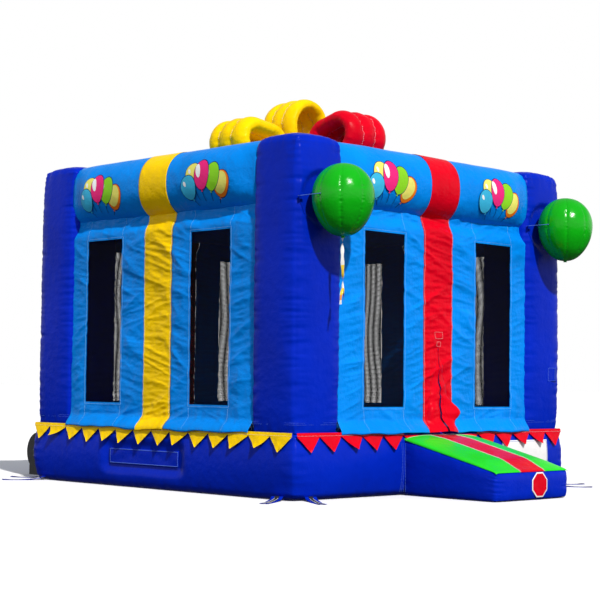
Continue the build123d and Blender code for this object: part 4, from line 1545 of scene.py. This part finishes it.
def finish_blower():
    """Better materials and softened edges for the blower's moulded parts."""
    looks = {
        "blower_housing_left": MOULDED,
        "blower_housing_right": MOULDED,
        "blower_switch": RED,
        "blower_impeller": MOULDED,
        "blower_motor": PAINTED,
        "blower_shaft": STEEL,
        "blower_grille": PAINTED,
        "blower_nozzle": MOULDED,
        "blower_cord_gland": MOULDED,
    }
    for name, material in looks.items():
        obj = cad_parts[name]
        obj.data.materials.clear()
        obj.data.materials.append(material)
        edge = obj.modifiers.new("edges", "BEVEL")
        edge.width = 0.0015
        edge.segments = 2
        edge.limit_method = "ANGLE"
        edge.angle_limit = radians(50)
    low, high = span("blower_motor")
    centre = (low + high) / 2
    radius = (high[1] - low[1]) / 2
    fins = Mesh()
    profile = ((0.0, -0.002), (0.0005, 0.006), (0.003, 0.006), (0.0035, -0.002))
    for x in np.arange(low[0] + 0.012, high[0] - 0.01, 0.009):
        rings = [hoop(0, x + dx, centre[1:], radius + out, 48) for dx, out in profile]
        fins.grid(np.array(rings), wrap_rows=True, wrap_columns=True, flip=True)
    fins.piece("blower_motor_fins", [PAINTED])
    screws = Mesh()
    intake = span("blower_grille")
    hub = (intake[0] + intake[1]) / 2
    for k in range(8):
        angle = 2 * pi * k / 8 + 0.2
        at = (hub[1] + 0.1 * cos(angle), hub[2] + 0.1 * sin(angle))
        profile = ((0.002, 0.006), (-0.002, 0.006), (-0.0035, 0.004), (-0.0035, 0.0008))
        rings = [hoop(0, intake[0][0] + dx, at, reach, 12) for dx, reach in profile]
        screws.tube(np.array(rings)[::-1])
    screws.piece("blower_grille_screws", [STEEL])


# --- stage ------------------------------------------------------------------------------


def studio_world():
    """A white studio: bright round the horizon, dimmer overhead and dark below."""
    world = bpy.data.worlds.new("studio")
    world.use_nodes = True
    tree = world.node_tree
    place = node(tree, "ShaderNodeTexCoord")
    part = node(tree, "ShaderNodeSeparateXYZ")
    height = node(tree, "ShaderNodeMapRange")
    height.inputs["From Min"].default_value = -1
    shades = node(tree, "ShaderNodeValToRGB")
    ramp = shades.color_ramp
    ramp.elements[0].color = (0.07, 0.07, 0.08, 1)
    ramp.elements[0].position = 0.485
    ramp.elements[1].color = (1, 1, 1, 1)
    ramp.elements[1].position = 0.495
    ramp.elements.new(0.63).color = (1, 1, 1, 1)
    ramp.elements.new(0.74).color = (0.30, 0.32, 0.36, 1)
    tree.links.new(place.outputs["Generated"], part.inputs["Vector"])
    tree.links.new(part.outputs["Z"], height.inputs["Value"])
    tree.links.new(height.outputs["Result"], shades.inputs["Fac"])
    tree.links.new(shades.outputs["Color"], tree.nodes["Background"].inputs["Color"])
    return world


def make_stage():
    floor = Mesh()
    x, y = np.meshgrid(np.linspace(-400, 400, 9), np.linspace(-400, 400, 9))
    floor.grid(np.stack([x, y, np.zeros_like(x)], axis=-1))
    pale = bpy.data.materials.new("pale_floor")
    pale.use_nodes = True
    shader = pale.node_tree.nodes["Principled BSDF"]
    shader.inputs["Base Color"].default_value = (0.97, 0.97, 0.97, 1)
    shader.inputs["Roughness"].default_value = 0.9
    shader.inputs["Specular IOR Level"].default_value = 0.0
    obj = floor.piece("studio_floor", [pale], body=None)
    obj.visible_diffuse = False
    obj.visible_glossy = False
    bpy.context.scene.world = studio_world()
    data = bpy.data.lights.new("key", "SUN")
    data.angle = radians(2.0)
    data.energy = 3.9
    data.color = (1.0, 0.97, 0.93)
    light = bpy.data.objects.new("key", data)
    light.rotation_euler = Vector((0.28, 0.70, -0.66)).to_track_quat("-Z", "Y").to_euler()
    bpy.context.scene.collection.objects.link(light)
    bpy.context.scene.view_settings.view_transform = "Standard"


make_bed()
make_baffles()
make_floor()
make_columns()
make_beams()
make_beam_ribbons()
make_prints()
make_walls()
make_nets()
make_ribbons()
make_front_ribbon()
make_flaps()
make_pennants()
make_roof()
make_roof_beams()
make_bow()
make_balloons()
make_streamer()
make_ramp()
make_ramp_stripes()
make_octagon()
make_patches()
make_zipper()
make_anchors()
make_inflation_tube()
finish_blower()
make_stage()
